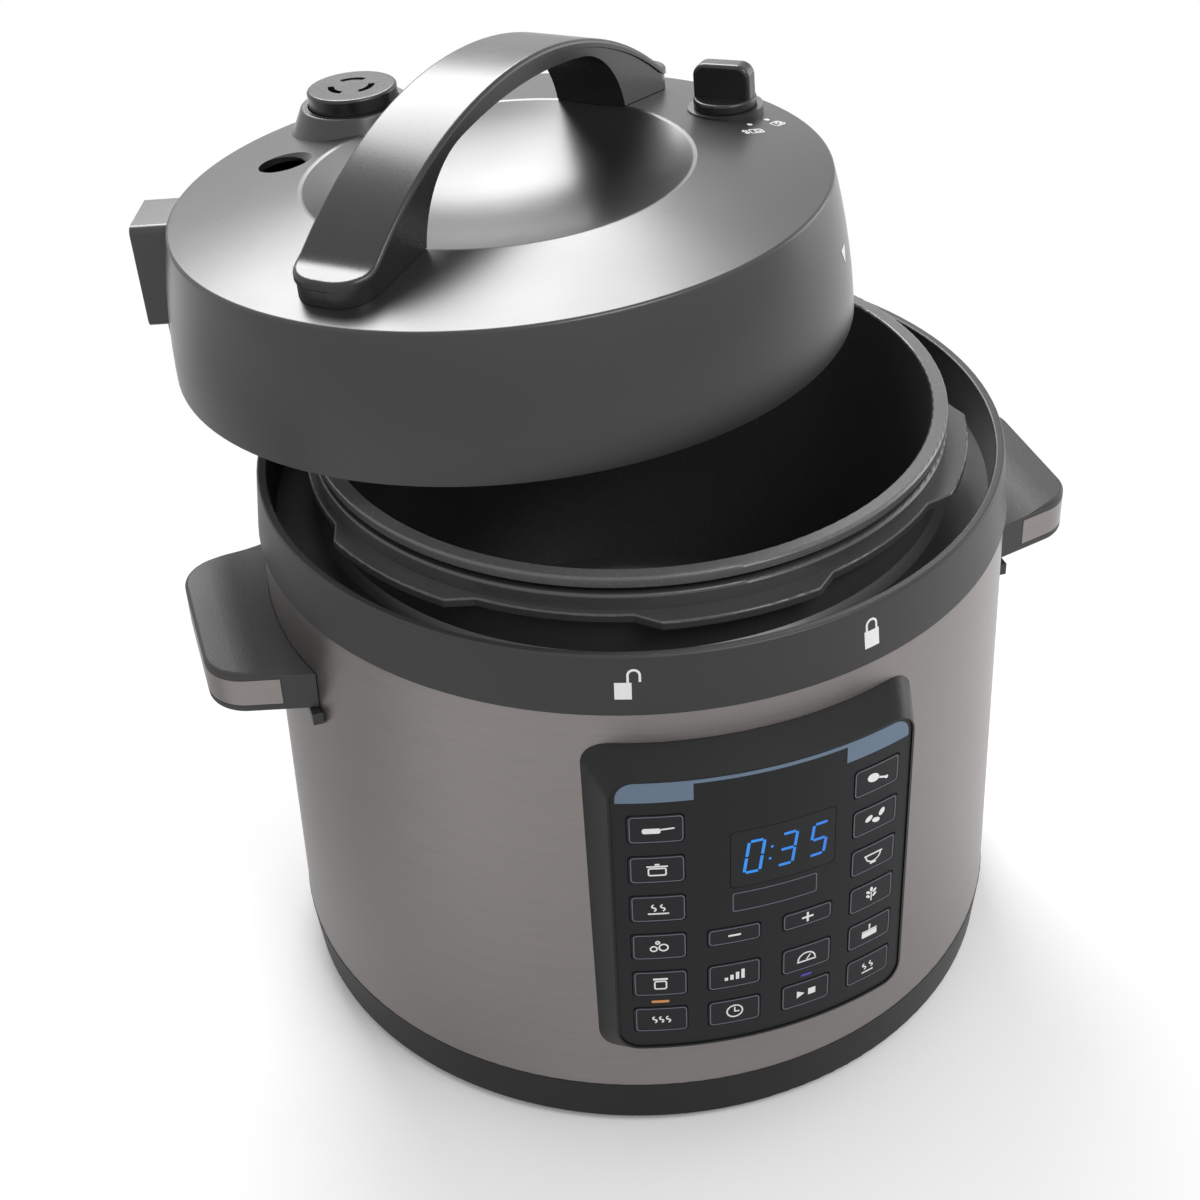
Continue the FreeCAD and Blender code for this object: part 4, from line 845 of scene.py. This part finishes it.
class Stencil:
    """Flat print drawn in the XY plane in millimetres, which can be stamped on surfaces."""

    spacing: ClassVar[float] = 3.0
    lift: ClassVar[float] = 0.12
    ink: ClassVar[float] = 0.1
    reach: ClassVar[float] = 30.0
    disc_sides: ClassVar[int] = 20
    ring_sides: ClassVar[int] = 28
    corner_steps: ClassVar[int] = 4
    tab_steps: ClassVar[int] = 8

    def __init__(self, strokes: Strokes) -> None:
        """Draw a print and cut it where it bends.

        Args:
            strokes: Marks that the print is made of.
        """
        self.flat = bpy.data.objects.new("stencil", bpy.data.meshes.new("stencil"))
        bpy.context.scene.collection.objects.link(self.flat)
        Bench.pick(self.flat)
        bpy.ops.object.mode_set(mode="EDIT")
        for mark, sizes in strokes:
            bpy.ops.mesh.select_all(action="SELECT")
            bpy.ops.mesh.hide(unselected=False)
            getattr(self, mark.value)(*sizes)
        bpy.ops.mesh.reveal()
        self._cut()
        bpy.ops.object.mode_set(mode="OBJECT")

    def bar(self, x: float, y: float, width: float, height: float, turn: float = 0.0) -> None:
        """Add a bar of a width and a height, turned by degrees."""
        bpy.ops.mesh.primitive_plane_add(size=MM, location=(x * MM, y * MM, 0.0))
        self._shape(x, y, width, height, turn)

    def disc(self, x: float, y: float, width: float, height: float, turn: float = 0.0) -> None:
        """Add a disc or an ellipse."""
        self._face(x, y, 0.5, self.disc_sides)
        self._shape(x, y, width, height, turn)

    def triangle(self, x: float, y: float, radius: float, turn: float) -> None:
        """Add a triangle that points up before it is turned."""
        self._face(x, y, radius, 3)
        self._shape(x, y, 1.0, 1.0, turn)

    def ring(self, x: float, y: float, radius: float, line: float) -> None:
        """Add a ring of a line's width inside a radius."""
        self._face(x, y, radius, self.ring_sides)
        self._open(line)

    def half_ring(self, x: float, y: float, radius: float, line: float, turn: float) -> None:
        """Add half of a ring.

        Args:
            x: Middle of the ring across.
            y: Middle of the ring upwards.
            radius: Outer radius.
            line: Width of the line.
            turn: Angle in degrees that the half lies towards.
        """
        self.ring(x, y, radius, line)
        bpy.ops.mesh.select_all(action="SELECT")
        way = (math.cos(math.radians(turn)), math.sin(math.radians(turn)), 0.0)
        bpy.ops.mesh.bisect(plane_co=(x * MM, y * MM, 0.0), plane_no=way, clear_inner=True)

    def plate(
        self, x: float, y: float, width: float, height: float, corner: float, turn: float = 0.0,
    ) -> None:
        """Add a filled rectangle with round corners."""
        self.bar(x, y, width, height, turn)
        bpy.ops.mesh.bevel(offset=corner * MM, segments=self.corner_steps, affect="VERTICES")

    def tab(
        self, x: float, y: float, width: float, height: float, corner: float, side: float,
    ) -> None:
        """Add a filled rectangle with one round corner at the top.

        Args:
            x: Middle across.
            y: Middle upwards.
            width: Width.
            height: Height.
            corner: Radius of the round corner.
            side: Side of the round corner, -1 for left or 1 for right.
        """
        self.bar(x, y, width, height)
        bpy.ops.mesh.select_all(action="DESELECT")
        bpy.ops.object.mode_set(mode="OBJECT")
        for vertex in self.flat.data.vertices:
            vertex.select = (vertex.co.x - x * MM) * side > 0 and vertex.co.y > y * MM
        bpy.ops.object.mode_set(mode="EDIT")
        bpy.ops.mesh.bevel(offset=corner * MM, segments=self.tab_steps, affect="VERTICES")

    def frame(
        self, x: float, y: float, width: float, height: float, line: float, corner: float,
    ) -> None:
        """Add a rectangular outline with round corners."""
        self.plate(x, y, width, height, corner)
        self._open(line)

    def stamp(self, name: str, surface: bpy.types.Object, place: Matrix) -> bpy.types.Object:
        """Put a copy of the print on a surface.

        Args:
            name: Name of the copy.
            surface: Object that carries the print.
            place: Frame of the copy just outside the surface, with Z pointing away from it.

        Returns:
            The finished copy.
        """
        piece = bpy.data.objects.new(name, self.flat.data.copy())
        bpy.context.scene.collection.objects.link(piece)
        piece.matrix_world = place
        Bench.apply(piece, "SHRINKWRAP", {
            "target": surface, "wrap_method": "PROJECT", "wrap_mode": "ABOVE_SURFACE",
            "use_project_z": True, "use_negative_direction": True, "use_positive_direction": False,
            "project_limit": self.reach * MM, "offset": self.lift * MM,
        })
        Bench.apply(piece, "SOLIDIFY", {"thickness": self.ink * MM, "offset": -1.0})
        Bench.settle(piece)
        return piece

    def discard(self) -> None:
        """Remove the flat original."""
        bpy.data.objects.remove(self.flat)

    def _face(self, x: float, y: float, radius: float, sides: int) -> None:
        """Add a filled polygon."""
        bpy.ops.mesh.primitive_circle_add(
            vertices=sides, radius=radius * MM, fill_type="NGON", location=(x * MM, y * MM, 0.0))

    def _shape(self, x: float, y: float, width: float, height: float, turn: float) -> None:
        """Stretch and turn what was added last.

        Args:
            x: Its middle across.
            y: Its middle upwards.
            width: How much wider it gets.
            height: How much higher it gets.
            turn: Turn in degrees.
        """
        middle = (x * MM, y * MM, 0.0)
        bpy.ops.transform.resize(value=(width, height, 1.0), center_override=middle)
        if turn:
            angle = -math.radians(turn)
            bpy.ops.transform.rotate(value=angle, orient_axis="Z", center_override=middle)

    def _open(self, line: float) -> None:
        """Leave only the rim of the face that was added last.

        Args:
            line: Width of the rim.
        """
        bpy.ops.mesh.select_mode(type="FACE")
        bpy.ops.mesh.inset(thickness=line * MM)
        bpy.ops.mesh.delete(type="ONLY_FACE")
        bpy.ops.mesh.select_mode(type="VERT")

    def _cut(self) -> None:
        """Cut the print into upright strips, so that it can follow a round wall."""
        self.flat.update_from_editmode()
        half = max(abs(vertex.co.x) for vertex in self.flat.data.vertices) / MM
        count = int(half / self.spacing)
        for index in range(-count, count + 1):
            bpy.ops.mesh.select_all(action="SELECT")
            spot = (index * self.spacing * MM, 0.0, 0.0)
            bpy.ops.mesh.bisect(plane_co=spot, plane_no=(1.0, 0.0, 0.0))
        Bench.weld()


class Kit:
    """Dresses CAD nodes and adds pieces to them."""

    def __init__(self, finishes: Finishes) -> None:
        """Look up the bodies and slots of the record.

        Args:
            finishes: Finishes that pieces are dressed with.
        """
        self.finishes = finishes
        record = frame["record"]
        bodies = record["behaviour"]["bodies"]
        self.body_of = {node: body for body, nodes in bodies.items() for node in nodes}
        self.slot_of = {part["node"]: part["material_slot"] for part in record["subparts"]}

    def dress(self, finish: str, *nodes: str) -> None:
        """Give CAD nodes a finish.

        Args:
            finish: Name of the finish.
            nodes: Names of the nodes.
        """
        for node in nodes:
            self.finishes.dress(frame["nodes"][node], finish)
            LOG.info("node %s: %s", node, finish)

    def add(self, piece: bpy.types.Object, carrier: str, finish: str) -> None:
        """Dress a new piece and let it ride with the node that carries it.

        Args:
            piece: New piece.
            carrier: CAD node that it sits on.
            finish: Name of its finish.
        """
        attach(piece, self.body_of[carrier])
        self.finishes.dress(piece, finish)
        LOG.info("piece %s on node %s: %s", piece.name, carrier, finish)

    def print_on(self, node: str, name: str, strokes: Strokes, place: Matrix, finish: str) -> None:
        """Print a mark on a CAD node.

        Args:
            node: Node that carries the mark.
            name: Name of the mark.
            strokes: What it is drawn from.
            place: Frame just outside the node, with Z pointing away from it.
            finish: Name of its finish.
        """
        stencil = Stencil(strokes)
        self.add(stencil.stamp(name, frame["nodes"][node], place), node, finish)
        stencil.discard()


def on_wall(radius: float, angle: float, height: float) -> Matrix:
    """Frame of a print on an upright round wall.

    Args:
        radius: Distance from the upright axis, in millimetres.
        angle: Angle from the front towards the right, in radians.
        height: Height above the bench, in millimetres.

    Returns:
        Frame with X along the wall, Y up and Z outwards.
    """
    out = Vector((math.sin(angle), -math.cos(angle), 0.0))
    side = Vector((math.cos(angle), math.sin(angle), 0.0))
    up = Vector((0.0, 0.0, 1.0))
    turn = Matrix((side, up, out)).transposed().to_4x4()
    return Matrix.Translation((out * radius + up * height) * MM) @ turn


COLLAR_TOP = 218.2
CLEARANCE = 6.0


@dataclass
class Casing:
    """Housing, collar and base, with the padlock marks on the collar."""

    kit: Kit
    collar_radius: float = 139.3
    open_angle: float = -18.75
    shut_angle: float = 17.2
    padlock_drop: float = 12.7

    def build(self) -> None:
        """Dress the casing and print its marks."""
        self.kit.dress("brushed_housing", "housing")
        self.kit.dress("collar_plastic", "collar")
        self.kit.dress("base_plastic", "base_ring")
        self.kit.dress("pressed_steel", "bottom_cover", "base_screws")
        self.kit.dress("dark_rubber", "feet")
        self.kit.dress("socket_plastic", "power_inlet")
        self._padlock("open_padlock", Icon.PADLOCK_OPEN, self.open_angle)
        self._padlock("shut_padlock", Icon.PADLOCK_SHUT, self.shut_angle)

    def _padlock(self, name: str, icon: Icon, angle: float) -> None:
        """Print one padlock on the collar.

        Args:
            name: Name of the mark.
            icon: Which padlock it is.
            angle: Angle from the front towards the right, in degrees.
        """
        height = COLLAR_TOP - self.padlock_drop
        place = on_wall(self.collar_radius + CLEARANCE, math.radians(angle), height)
        self.kit.print_on("collar", name, icon.value, place, "white_ink")


@dataclass
class SideHandles:
    """The two carrying handles with their steel bands."""

    kit: Kit

    def build(self) -> None:
        """Dress the handles."""
        self.kit.dress("handle_plastic", "left_handle", "right_handle")
        self.kit.dress("brushed_trim", "left_trim", "right_trim")
        self.kit.dress("pressed_steel", "handle_screws")


@dataclass
class Cookwell:
    """Inner pot and what surrounds it inside the housing."""

    kit: Kit
    sensor_travel: float = 2.0

    def build(self) -> None:
        """Dress the pot, the liner, the heater and the electrics."""
        self.kit.dress("pot_coat", "inner_pot")
        self.kit.dress("liner_coat", "pressure_liner")
        self.kit.dress("cast_plate", "heating_plate", "sensor_button")
        self.kit.dress("pressed_steel", "heating_element")
        self.kit.dress("bright_wire", "sensor_spring")
        self.kit.dress("socket_plastic", "pressure_switch")
        self.kit.dress("lacquered_board", "power_board")
        self._spring()

    def _spring(self) -> None:
        """Put a welded copy of the rigid spring in its place, riding with the rigid spring's body.
        """
        rigid = "sensor_spring"
        spring = bpy.data.objects.new("sprung_coil", frame["nodes"][rigid].data.copy())
        bpy.context.scene.collection.objects.link(spring)
        Bench.pick(spring)
        bpy.ops.object.mode_set(mode="EDIT")
        Bench.weld()
        bpy.ops.object.mode_set(mode="OBJECT")
        self.kit.add(spring, rigid, "bright_wire")
        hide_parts(rigid)
        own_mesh(spring)


@dataclass
class ControlPanel:
    """Bezel, overlay, keys and display, with the panel's prints.

    Heights are drops under the collar's top, and arcs run along the panel from its middle.
    """

    kit: Kit
    face_radius: float = 150.7
    outline_line: float = 0.35
    outline_corner: float = 1.4
    outline_margin: float = 0.4
    tab_arc: float = 40.1
    tab_width: float = 25.8
    tab_top: float = 41.5
    tab_height: float = 8.4
    tab_corner: float = 6.6
    band_height: float = 1.5
    band_parts: int = 4
    digit_width: float = 5.5
    digit_height: float = 13.6
    digit_line: float = 1.1
    digit_slant: float = 7.6
    digit_corner: float = 0.33
    digit_gap: float = 0.66
    digit_drop: float = 79.1
    digit_arcs: tuple[float, ...] = (-6.5, 5.3, 17.1)
    colon_arc: float = -0.6
    colon_rise: float = 2.6
    colon_dot: float = 1.0
    status_arc: float = 1.3
    status_drop: float = 98.8
    status_size: tuple[float, float] = (30.8, 8.6)
    status_corner: float = 0.8
    lamp_drop: float = 142.6
    lamp_height: float = 1.1
    key_relief: float = 0.6
    lamps: ClassVar[tuple[tuple[str, str, float, float], ...]] = (
        ("keep_warm_lamp", "amber_lamp", -40.0, 6.2),
        ("start_lamp", "violet_lamp", 13.6, 4.2),
    )
    icons: ClassVar[dict[str, Icon]] = {
        "left_key_1": Icon.PAN, "left_key_2": Icon.SLOW_POT, "left_key_3": Icon.SIMMER,
        "left_key_4": Icon.BOIL, "left_key_5": Icon.JAR, "left_key_6": Icon.WARM,
        "right_key_1": Icon.DRUMSTICK, "right_key_2": Icon.BEANS, "right_key_3": Icon.BOWL,
        "right_key_4": Icon.GRAINS, "right_key_5": Icon.CAKE, "right_key_6": Icon.STEAM,
        "minus_key": Icon.MINUS, "plus_key": Icon.PLUS, "level_key": Icon.LEVEL,
        "manual_key": Icon.GAUGE, "delay_key": Icon.CLOCK, "start_key": Icon.START,
    }
    segments: ClassVar[dict[str, str]] = {"0": "abcdef", "3": "abcdg", "5": "acdfg"}

    def build(self) -> None:
        """Dress the panel and print its marks."""
        self.kit.dress("bezel_plastic", "panel_bezel")
        self.kit.dress("overlay_film", "keypad_overlay")
        self.kit.dress("key_film", *self.icons)
        self.kit.dress("smoked_glass", "display_window")
        self.kit.dress("socket_plastic", "display_module")
        self.kit.dress("milky_silicone", "keypad_mat")
        self.kit.dress("lacquered_board", "control_board")
        self._keys()
        self._header()
        self._digits()
        box = ((Mark.FRAME, (0.0, 0.0, *self.status_size, self.outline_line, self.status_corner)),)
        self._overlay_mark("status_box", "line_ink", self.status_arc, self.status_drop, box)
        for name, finish, arc, length in self.lamps:
            lamp = ((Mark.PLATE, (0.0, 0.0, length, self.lamp_height, self.lamp_height / 3)),)
            self._overlay_mark(name, finish, arc, self.lamp_drop, lamp)

    def _at(self, arc: float, drop: float) -> Matrix:
        """Frame just outside the panel at an arc and a drop."""
        return on_wall(self.face_radius + CLEARANCE, arc / self.face_radius, COLLAR_TOP - drop)

    def _overlay_mark(
        self, name: str, finish: str, arc: float, drop: float, strokes: Strokes,
    ) -> None:
        """Print a mark on the overlay.

        Args:
            name: Name of the mark.
            finish: Name of its finish.
            arc: Middle of the mark along the panel.
            drop: Middle of the mark under the collar's top.
            strokes: What it is drawn from.
        """
        self.kit.print_on("keypad_overlay", name, strokes, self._at(arc, drop), finish)

    def _keys(self) -> None:
        """Print an outline and a pictogram on every key."""
        outlines: dict[tuple[float, float], Stencil] = {}
        for key, icon in self.icons.items():
            low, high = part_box(key)
            node = frame["nodes"][key]
            middle = (low + high) / 2 / MM
            angle = math.atan2(middle.x, -middle.y)
            size = self._face_size(node, angle)
            if size not in outlines:
                outlines[size] = self._outline(size)
            place = on_wall(self.face_radius + CLEARANCE, angle, middle.z)
            self.kit.add(outlines[size].stamp(key + "_outline", node, place), key, "line_ink")
            self.kit.print_on(key, key + "_icon", icon.value, place, "white_ink")
        for stencil in outlines.values():
            stencil.discard()

    def _face_size(self, node: bpy.types.Object, angle: float) -> tuple[float, float]:
        """Width and height of a key's raised face, rounded to tenths of a millimetre.

        Args:
            node: Key.
            angle: Angle of its middle from the front, in radians.

        Returns:
            Width and height in millimetres.
        """
        out = Vector((math.sin(angle), -math.cos(angle), 0.0))
        side = Vector((math.cos(angle), math.sin(angle), 0.0))
        spots = [vertex.co for vertex in node.data.vertices]
        back = max(spot.dot(out) for spot in spots) - self.key_relief * MM
        face = [spot for spot in spots if spot.dot(out) > back]
        width = max(spot.dot(side) for spot in face) - min(spot.dot(side) for spot in face)
        height = max(spot.z for spot in face) - min(spot.z for spot in face)
        return round(width / MM, 1), round(height / MM, 1)

    def _outline(self, size: tuple[float, float]) -> Stencil:
        """Outline that runs just inside a key's edge.

        Args:
            size: Width and height of the key's face.

        Returns:
            Its stencil.
        """
        width, height = (length - 2 * self.outline_margin for length in size)
        outline = (0.0, 0.0, width, height, self.outline_line, self.outline_corner)
        return Stencil(((Mark.FRAME, outline),))

    def _header(self) -> None:
        """Print the two coloured tabs along the top and the band that joins them."""
        drop = self.tab_top + self.tab_height / 2
        for name, side in (("left_tab", -1.0), ("right_tab", 1.0)):
            tab = ((Mark.TAB, (0.0, 0.0, self.tab_width, self.tab_height, self.tab_corner, side)),)
            self._overlay_mark(name, "tab_ink", side * self.tab_arc, drop, tab)
        drop = self.tab_top + self.band_height / 2
        gap = 2 * self.tab_arc - self.tab_width
        length = gap / self.band_parts
        strip = ((Mark.BAR, (0.0, 0.0, length, self.band_height)),)
        for index in range(self.band_parts):
            arc = -gap / 2 + (index + 0.5) * length
            self._overlay_mark(f"header_band_{index + 1}", "tab_ink", arc, drop, strip)

    def _digits(self) -> None:
        """Print the lit digits and the colon on the display."""
        for arc, digit in zip(self.digit_arcs, self.segments):
            strokes = tuple(self._segment(letter) for letter in self.segments[digit])
            self._lit(f"digit_{digit}", arc, strokes)
        lean = math.tan(math.radians(self.digit_slant))
        dots = tuple(
            (Mark.DISC, (rise * lean, rise, self.colon_dot, self.colon_dot))
            for rise in (self.colon_rise, -self.colon_rise))
        self._lit("digit_colon", self.colon_arc, dots)

    def _segment(self, letter: str) -> Stroke:
        """One segment of a slanted seven-segment digit.

        Args:
            letter: Usual letter of the segment.

        Returns:
            Its stroke.
        """
        half_width = self.digit_width / 2
        half_height = self.digit_height / 2
        spots = {
            "a": (0, half_height), "g": (0, 0), "d": (0, -half_height),
            "b": (half_width, half_height / 2), "c": (half_width, -half_height / 2),
            "e": (-half_width, -half_height / 2), "f": (-half_width, half_height / 2),
        }
        x, y = spots[letter]
        x += y * math.tan(math.radians(self.digit_slant))
        line = self.digit_line
        if letter in "agd":
            return Mark.PLATE, (x, y, self.digit_width - line, line, self.digit_corner)
        length = half_height - self.digit_gap
        return Mark.PLATE, (x, y, line, length, self.digit_corner, -self.digit_slant)

    def _lit(self, name: str, arc: float, strokes: Strokes) -> None:
        """Put a lit mark on the display window."""
        place = self._at(arc, self.digit_drop)
        self.kit.print_on("display_window", name, strokes, place, "blue_digits")


@dataclass
class Lid:
    """Lid with its handle, valves and knob, and the marks on it.

    Angles on the lid run from its own front, in degrees.
    """

    kit: Kit
    spot: tuple[float, float, float] = (-26.3, 58.5, COLLAR_TOP + 23.2)
    lean: float = 3.96
    spin: float = 43.9
    arrow_angle: float = 15.4
    arrow_height: float = 29.5
    skirt_radius: float = 128.8
    top_height: float = 62.0
    knob: tuple[float, float] = (86.25, -50.60)
    knob_marks: ClassVar[tuple[tuple[str, Icon, float, float], ...]] = (
        ("vent_dot", Icon.DOT, 75.4, -66.1),
        ("seal_dot", Icon.DOT, 84.9, -68.7),
        ("vent_icon", Icon.VALVE_OPEN, 69.8, -71.6),
        ("seal_icon", Icon.VALVE_SHUT, 83.0, -74.1),
    )

    def build(self) -> None:
        """Dress the lid and print its marks."""
        self.kit.dress("lid_shell", "lid_cover")
        self.kit.dress("lid_fitting", "grip_cover", "grip_base", "valve_weight", "release_knob")
        self.kit.dress("pressed_steel", "inner_lid", "lid_screws", "knob_shaft")
        self.kit.dress("pressed_steel", "vent_pipe", "anti_block_shield")
        # The float pin gets a near-black painted shade in place of its steel colour.
        self.kit.dress("painted_shade_pin_metal", "float_pin")
        self.kit.dress("bright_wire", "seal_rack", "relief_ball", "relief_spring")
        self.kit.dress("milky_silicone", "sealing_ring", "float_seal")
        angle = math.radians(self.arrow_angle)
        arrow = on_wall(self.skirt_radius + CLEARANCE, angle, self.arrow_height)
        self._mark("lid_arrow", Icon.ARROW_DOWN, arrow)
        for name, icon, x, y in self.knob_marks:
            self._mark(name, icon, self._facing_knob(x, y))

    def _frame(self) -> Matrix:
        """Find where the lid hovers.

        Returns:
            Frame of the lid in the shared frame.
        """
        x, y, z = self.spot
        way = math.atan2(y, x)
        axis = Vector((-math.sin(way), math.cos(way), 0.0))
        tilt = Matrix.Rotation(math.radians(self.lean), 4, axis)
        twist = Matrix.Rotation(math.radians(self.spin), 4, "Z")
        return Matrix.Translation((x * MM, y * MM, z * MM)) @ tilt @ twist

    def _facing_knob(self, x: float, y: float) -> Matrix:
        """Find the place of a mark beside the knob.

        Args:
            x: Spot on the lid across.
            y: Spot on the lid towards its back.

        Returns:
            Frame above the lid's top, with Y towards the knob.
        """
        knob_x, knob_y = self.knob
        turn = math.atan2(knob_y - y, knob_x - x) - math.pi / 2
        spot = Matrix.Translation((x * MM, y * MM, self.top_height * MM))
        return spot @ Matrix.Rotation(turn, 4, "Z")

    def _mark(self, name: str, icon: Icon, place: Matrix) -> None:
        """Print a white mark on the lid at a frame of the lid."""
        self.kit.print_on("lid_cover", name, icon.value, self._frame() @ place, "white_ink")


@dataclass
class Softbox:
    """Soft rectangular lamp that points at a target.

    Directions are degrees round from the front towards the right, and degrees above the bench.
    """

    name: str
    round_angle: float
    height_angle: float
    distance: float
    width: float
    height: float
    radiance: float

    def build(self, target: Vector) -> None:
        """Hang the lamp.

        Args:
            target: Point that it faces.
        """
        light = bpy.data.lights.new(self.name, "AREA")
        light.shape = "RECTANGLE"
        light.size = self.width
        light.size_y = self.height
        light.energy = self.radiance * math.pi * self.width * self.height
        lamp = bpy.data.objects.new(self.name, light)
        bpy.context.scene.collection.objects.link(lamp)
        turn = math.radians(self.round_angle)
        rise = math.radians(self.height_angle)
        level = Vector((math.sin(turn), -math.cos(turn), 0.0)) * math.cos(rise)
        way = level + Vector((0.0, 0.0, math.sin(rise)))
        lamp.location = target + way * self.distance
        lamp.rotation_euler = (-way).to_track_quat("-Z", "Y").to_euler()
        lamp.visible_camera = False


@dataclass
class Studio:
    """White floor, white surroundings, softboxes and the camera."""

    floor_size: float = 8.0
    floor_drop: float = 0.0002
    floor_glow: float = 0.12
    floor_sheen: float = 0.35
    floor_colour: Colour = (0.88, 0.88, 0.88)
    floor_near: float = 0.15
    floor_fade: float = 0.22
    card_spot: tuple[float, float, float] = (-0.50, 0.24, 0.002)
    card_size: tuple[float, float] = (0.84, 0.80)
    card_fade: float = 0.16
    card_colour: Colour = (0.50, 0.50, 0.50)
    surroundings: float = 0.5
    target: tuple[float, float, float] = (0.0, 0.0, 0.16)
    camera_spot: tuple[float, float, float] = (-0.1908, -0.6330, 0.61956)
    camera_azimuth: float = 15.6
    camera_dip: float = 35.8447
    camera_roll: float = -2.701
    camera_lens: float = 62.573
    boxes: ClassVar[tuple[Softbox, ...]] = (
        Softbox("back_box", 178.0, 43.0, 1.6, 0.85, 0.85, 10.5),
        Softbox("right_box", 105.0, 10.0, 1.6, 0.8, 0.8, 2.0),
        Softbox("front_box", 25.0, 50.0, 1.7, 0.9, 0.7, 5.5),
    )

    def build(self) -> None:
        """Set up the studio."""
        self._surroundings()
        self._floor()
        self._card()
        for box in self.boxes:
            box.build(Vector(self.target))
        self._camera()
        bpy.context.scene.view_settings.view_transform = "Standard"

    def _surroundings(self) -> None:
        """White world that lights matt surfaces only a little."""
        world = bpy.data.worlds.new("surroundings")
        bpy.context.scene.world = world
        shader = Shader(world)
        camera, mirrored = self._rays(shader)
        seen = (camera + mirrored).clamped()
        tone = shader.blend(seen, tinted(WHITE, self.surroundings), WHITE)
        background = shader.wire("ShaderNodeBackground", {}, {"Color": tone, "Strength": 1.0})
        shader.node("ShaderNodeOutputWorld", {}, {"Surface": background})

    def _rays(self, shader: Shader) -> tuple[Wire, Wire]:
        """Tell which kind of ray meets a surface.

        Args:
            shader: Shader that asks.

        Returns:
            1 for rays of the camera, and 1 for mirrored or refracted ones.
        """
        path = shader.node("ShaderNodeLightPath", {}, {})
        kinds = ("Camera", "Glossy", "Transmission")
        camera, glossy, clear = (Wire(shader, path.outputs[f"Is {kind} Ray"]) for kind in kinds)
        return camera, glossy + clear

    def _floor(self) -> None:
        """White floor that keeps the shadow and fades to plain white far off."""
        bpy.ops.object.select_all(action="DESELECT")
        spot = (0.0, 0.0, -self.floor_drop)
        bpy.ops.mesh.primitive_plane_add(size=self.floor_size, location=spot)
        floor = bpy.context.object
        floor.name = "floor"
        shader = shader_for("studio_floor")
        camera, mirrored = self._rays(shader)
        far = camera * ((shader.radius() - self.floor_near) / self.floor_fade).clamped()
        white = mirrored * self.floor_sheen + far
        ground = shader.mixed(white, shader.matt(self.floor_colour), shader.emission(WHITE))
        lift = shader.blend(camera - far, BLACK, tinted(WHITE, self.floor_glow))
        whole = shader.wire("ShaderNodeAddShader", {}, {0: ground, 1: shader.emission(lift)})
        floor.data.materials.append(shader.ended(whole))

    def _card(self) -> None:
        """Grey card with soft borders beside the object, which only reflections show."""
        bpy.ops.object.select_all(action="DESELECT")
        bpy.ops.mesh.primitive_plane_add(size=1.0, location=self.card_spot)
        card = bpy.context.object
        card.name = "card"
        card.scale = (*self.card_size, 1.0)
        Bench.settle(card)
        shader = shader_for("grey_card")
        inset = [
            size / 2 - shader.math("ABSOLUTE", place - middle)
            for place, middle, size in zip(shader.axes(), self.card_spot, self.card_size)]
        share = (shader.math("MINIMUM", *inset) / self.card_fade).clamped()
        clear = shader.wire("ShaderNodeBsdfTransparent", {}, {})
        soft = shader.mixed(share, clear, shader.matt(self.card_colour))
        card.data.materials.append(shader.ended(soft))
        card.visible_camera = card.visible_diffuse = card.visible_shadow = False

    def _camera(self) -> None:
        """Camera where the photo was taken from."""
        data = bpy.data.cameras.new("photo_camera")
        data.lens = self.camera_lens
        data.dof.use_dof = False
        camera = bpy.data.objects.new("photo_camera", data)
        bpy.context.scene.collection.objects.link(camera)
        turn = math.radians(self.camera_azimuth)
        dip = math.radians(self.camera_dip)
        level = Vector((math.sin(turn), math.cos(turn), 0.0)) * math.cos(dip)
        ahead = level - Vector((0.0, 0.0, math.sin(dip)))
        side = Vector((math.cos(turn), -math.sin(turn), 0.0))
        top = side.cross(ahead)
        roll = math.radians(self.camera_roll)
        across = side * math.cos(roll) + top * math.sin(roll)
        upward = top * math.cos(roll) - side * math.sin(roll)
        stand = Matrix((across, upward, -ahead)).transposed().to_4x4()
        camera.matrix_world = Matrix.Translation(self.camera_spot) @ stand
        bpy.context.scene.camera = camera


def main() -> None:
    """Dress the cooker and set up the studio."""
    logging.basicConfig(level=logging.INFO, format="%(name)s: %(message)s")
    kit = Kit(Finishes())
    for part in (Casing(kit), SideHandles(kit), Cookwell(kit), ControlPanel(kit), Lid(kit)):
        part.build()
    Studio().build()


if __name__ == "__main__":
    main()
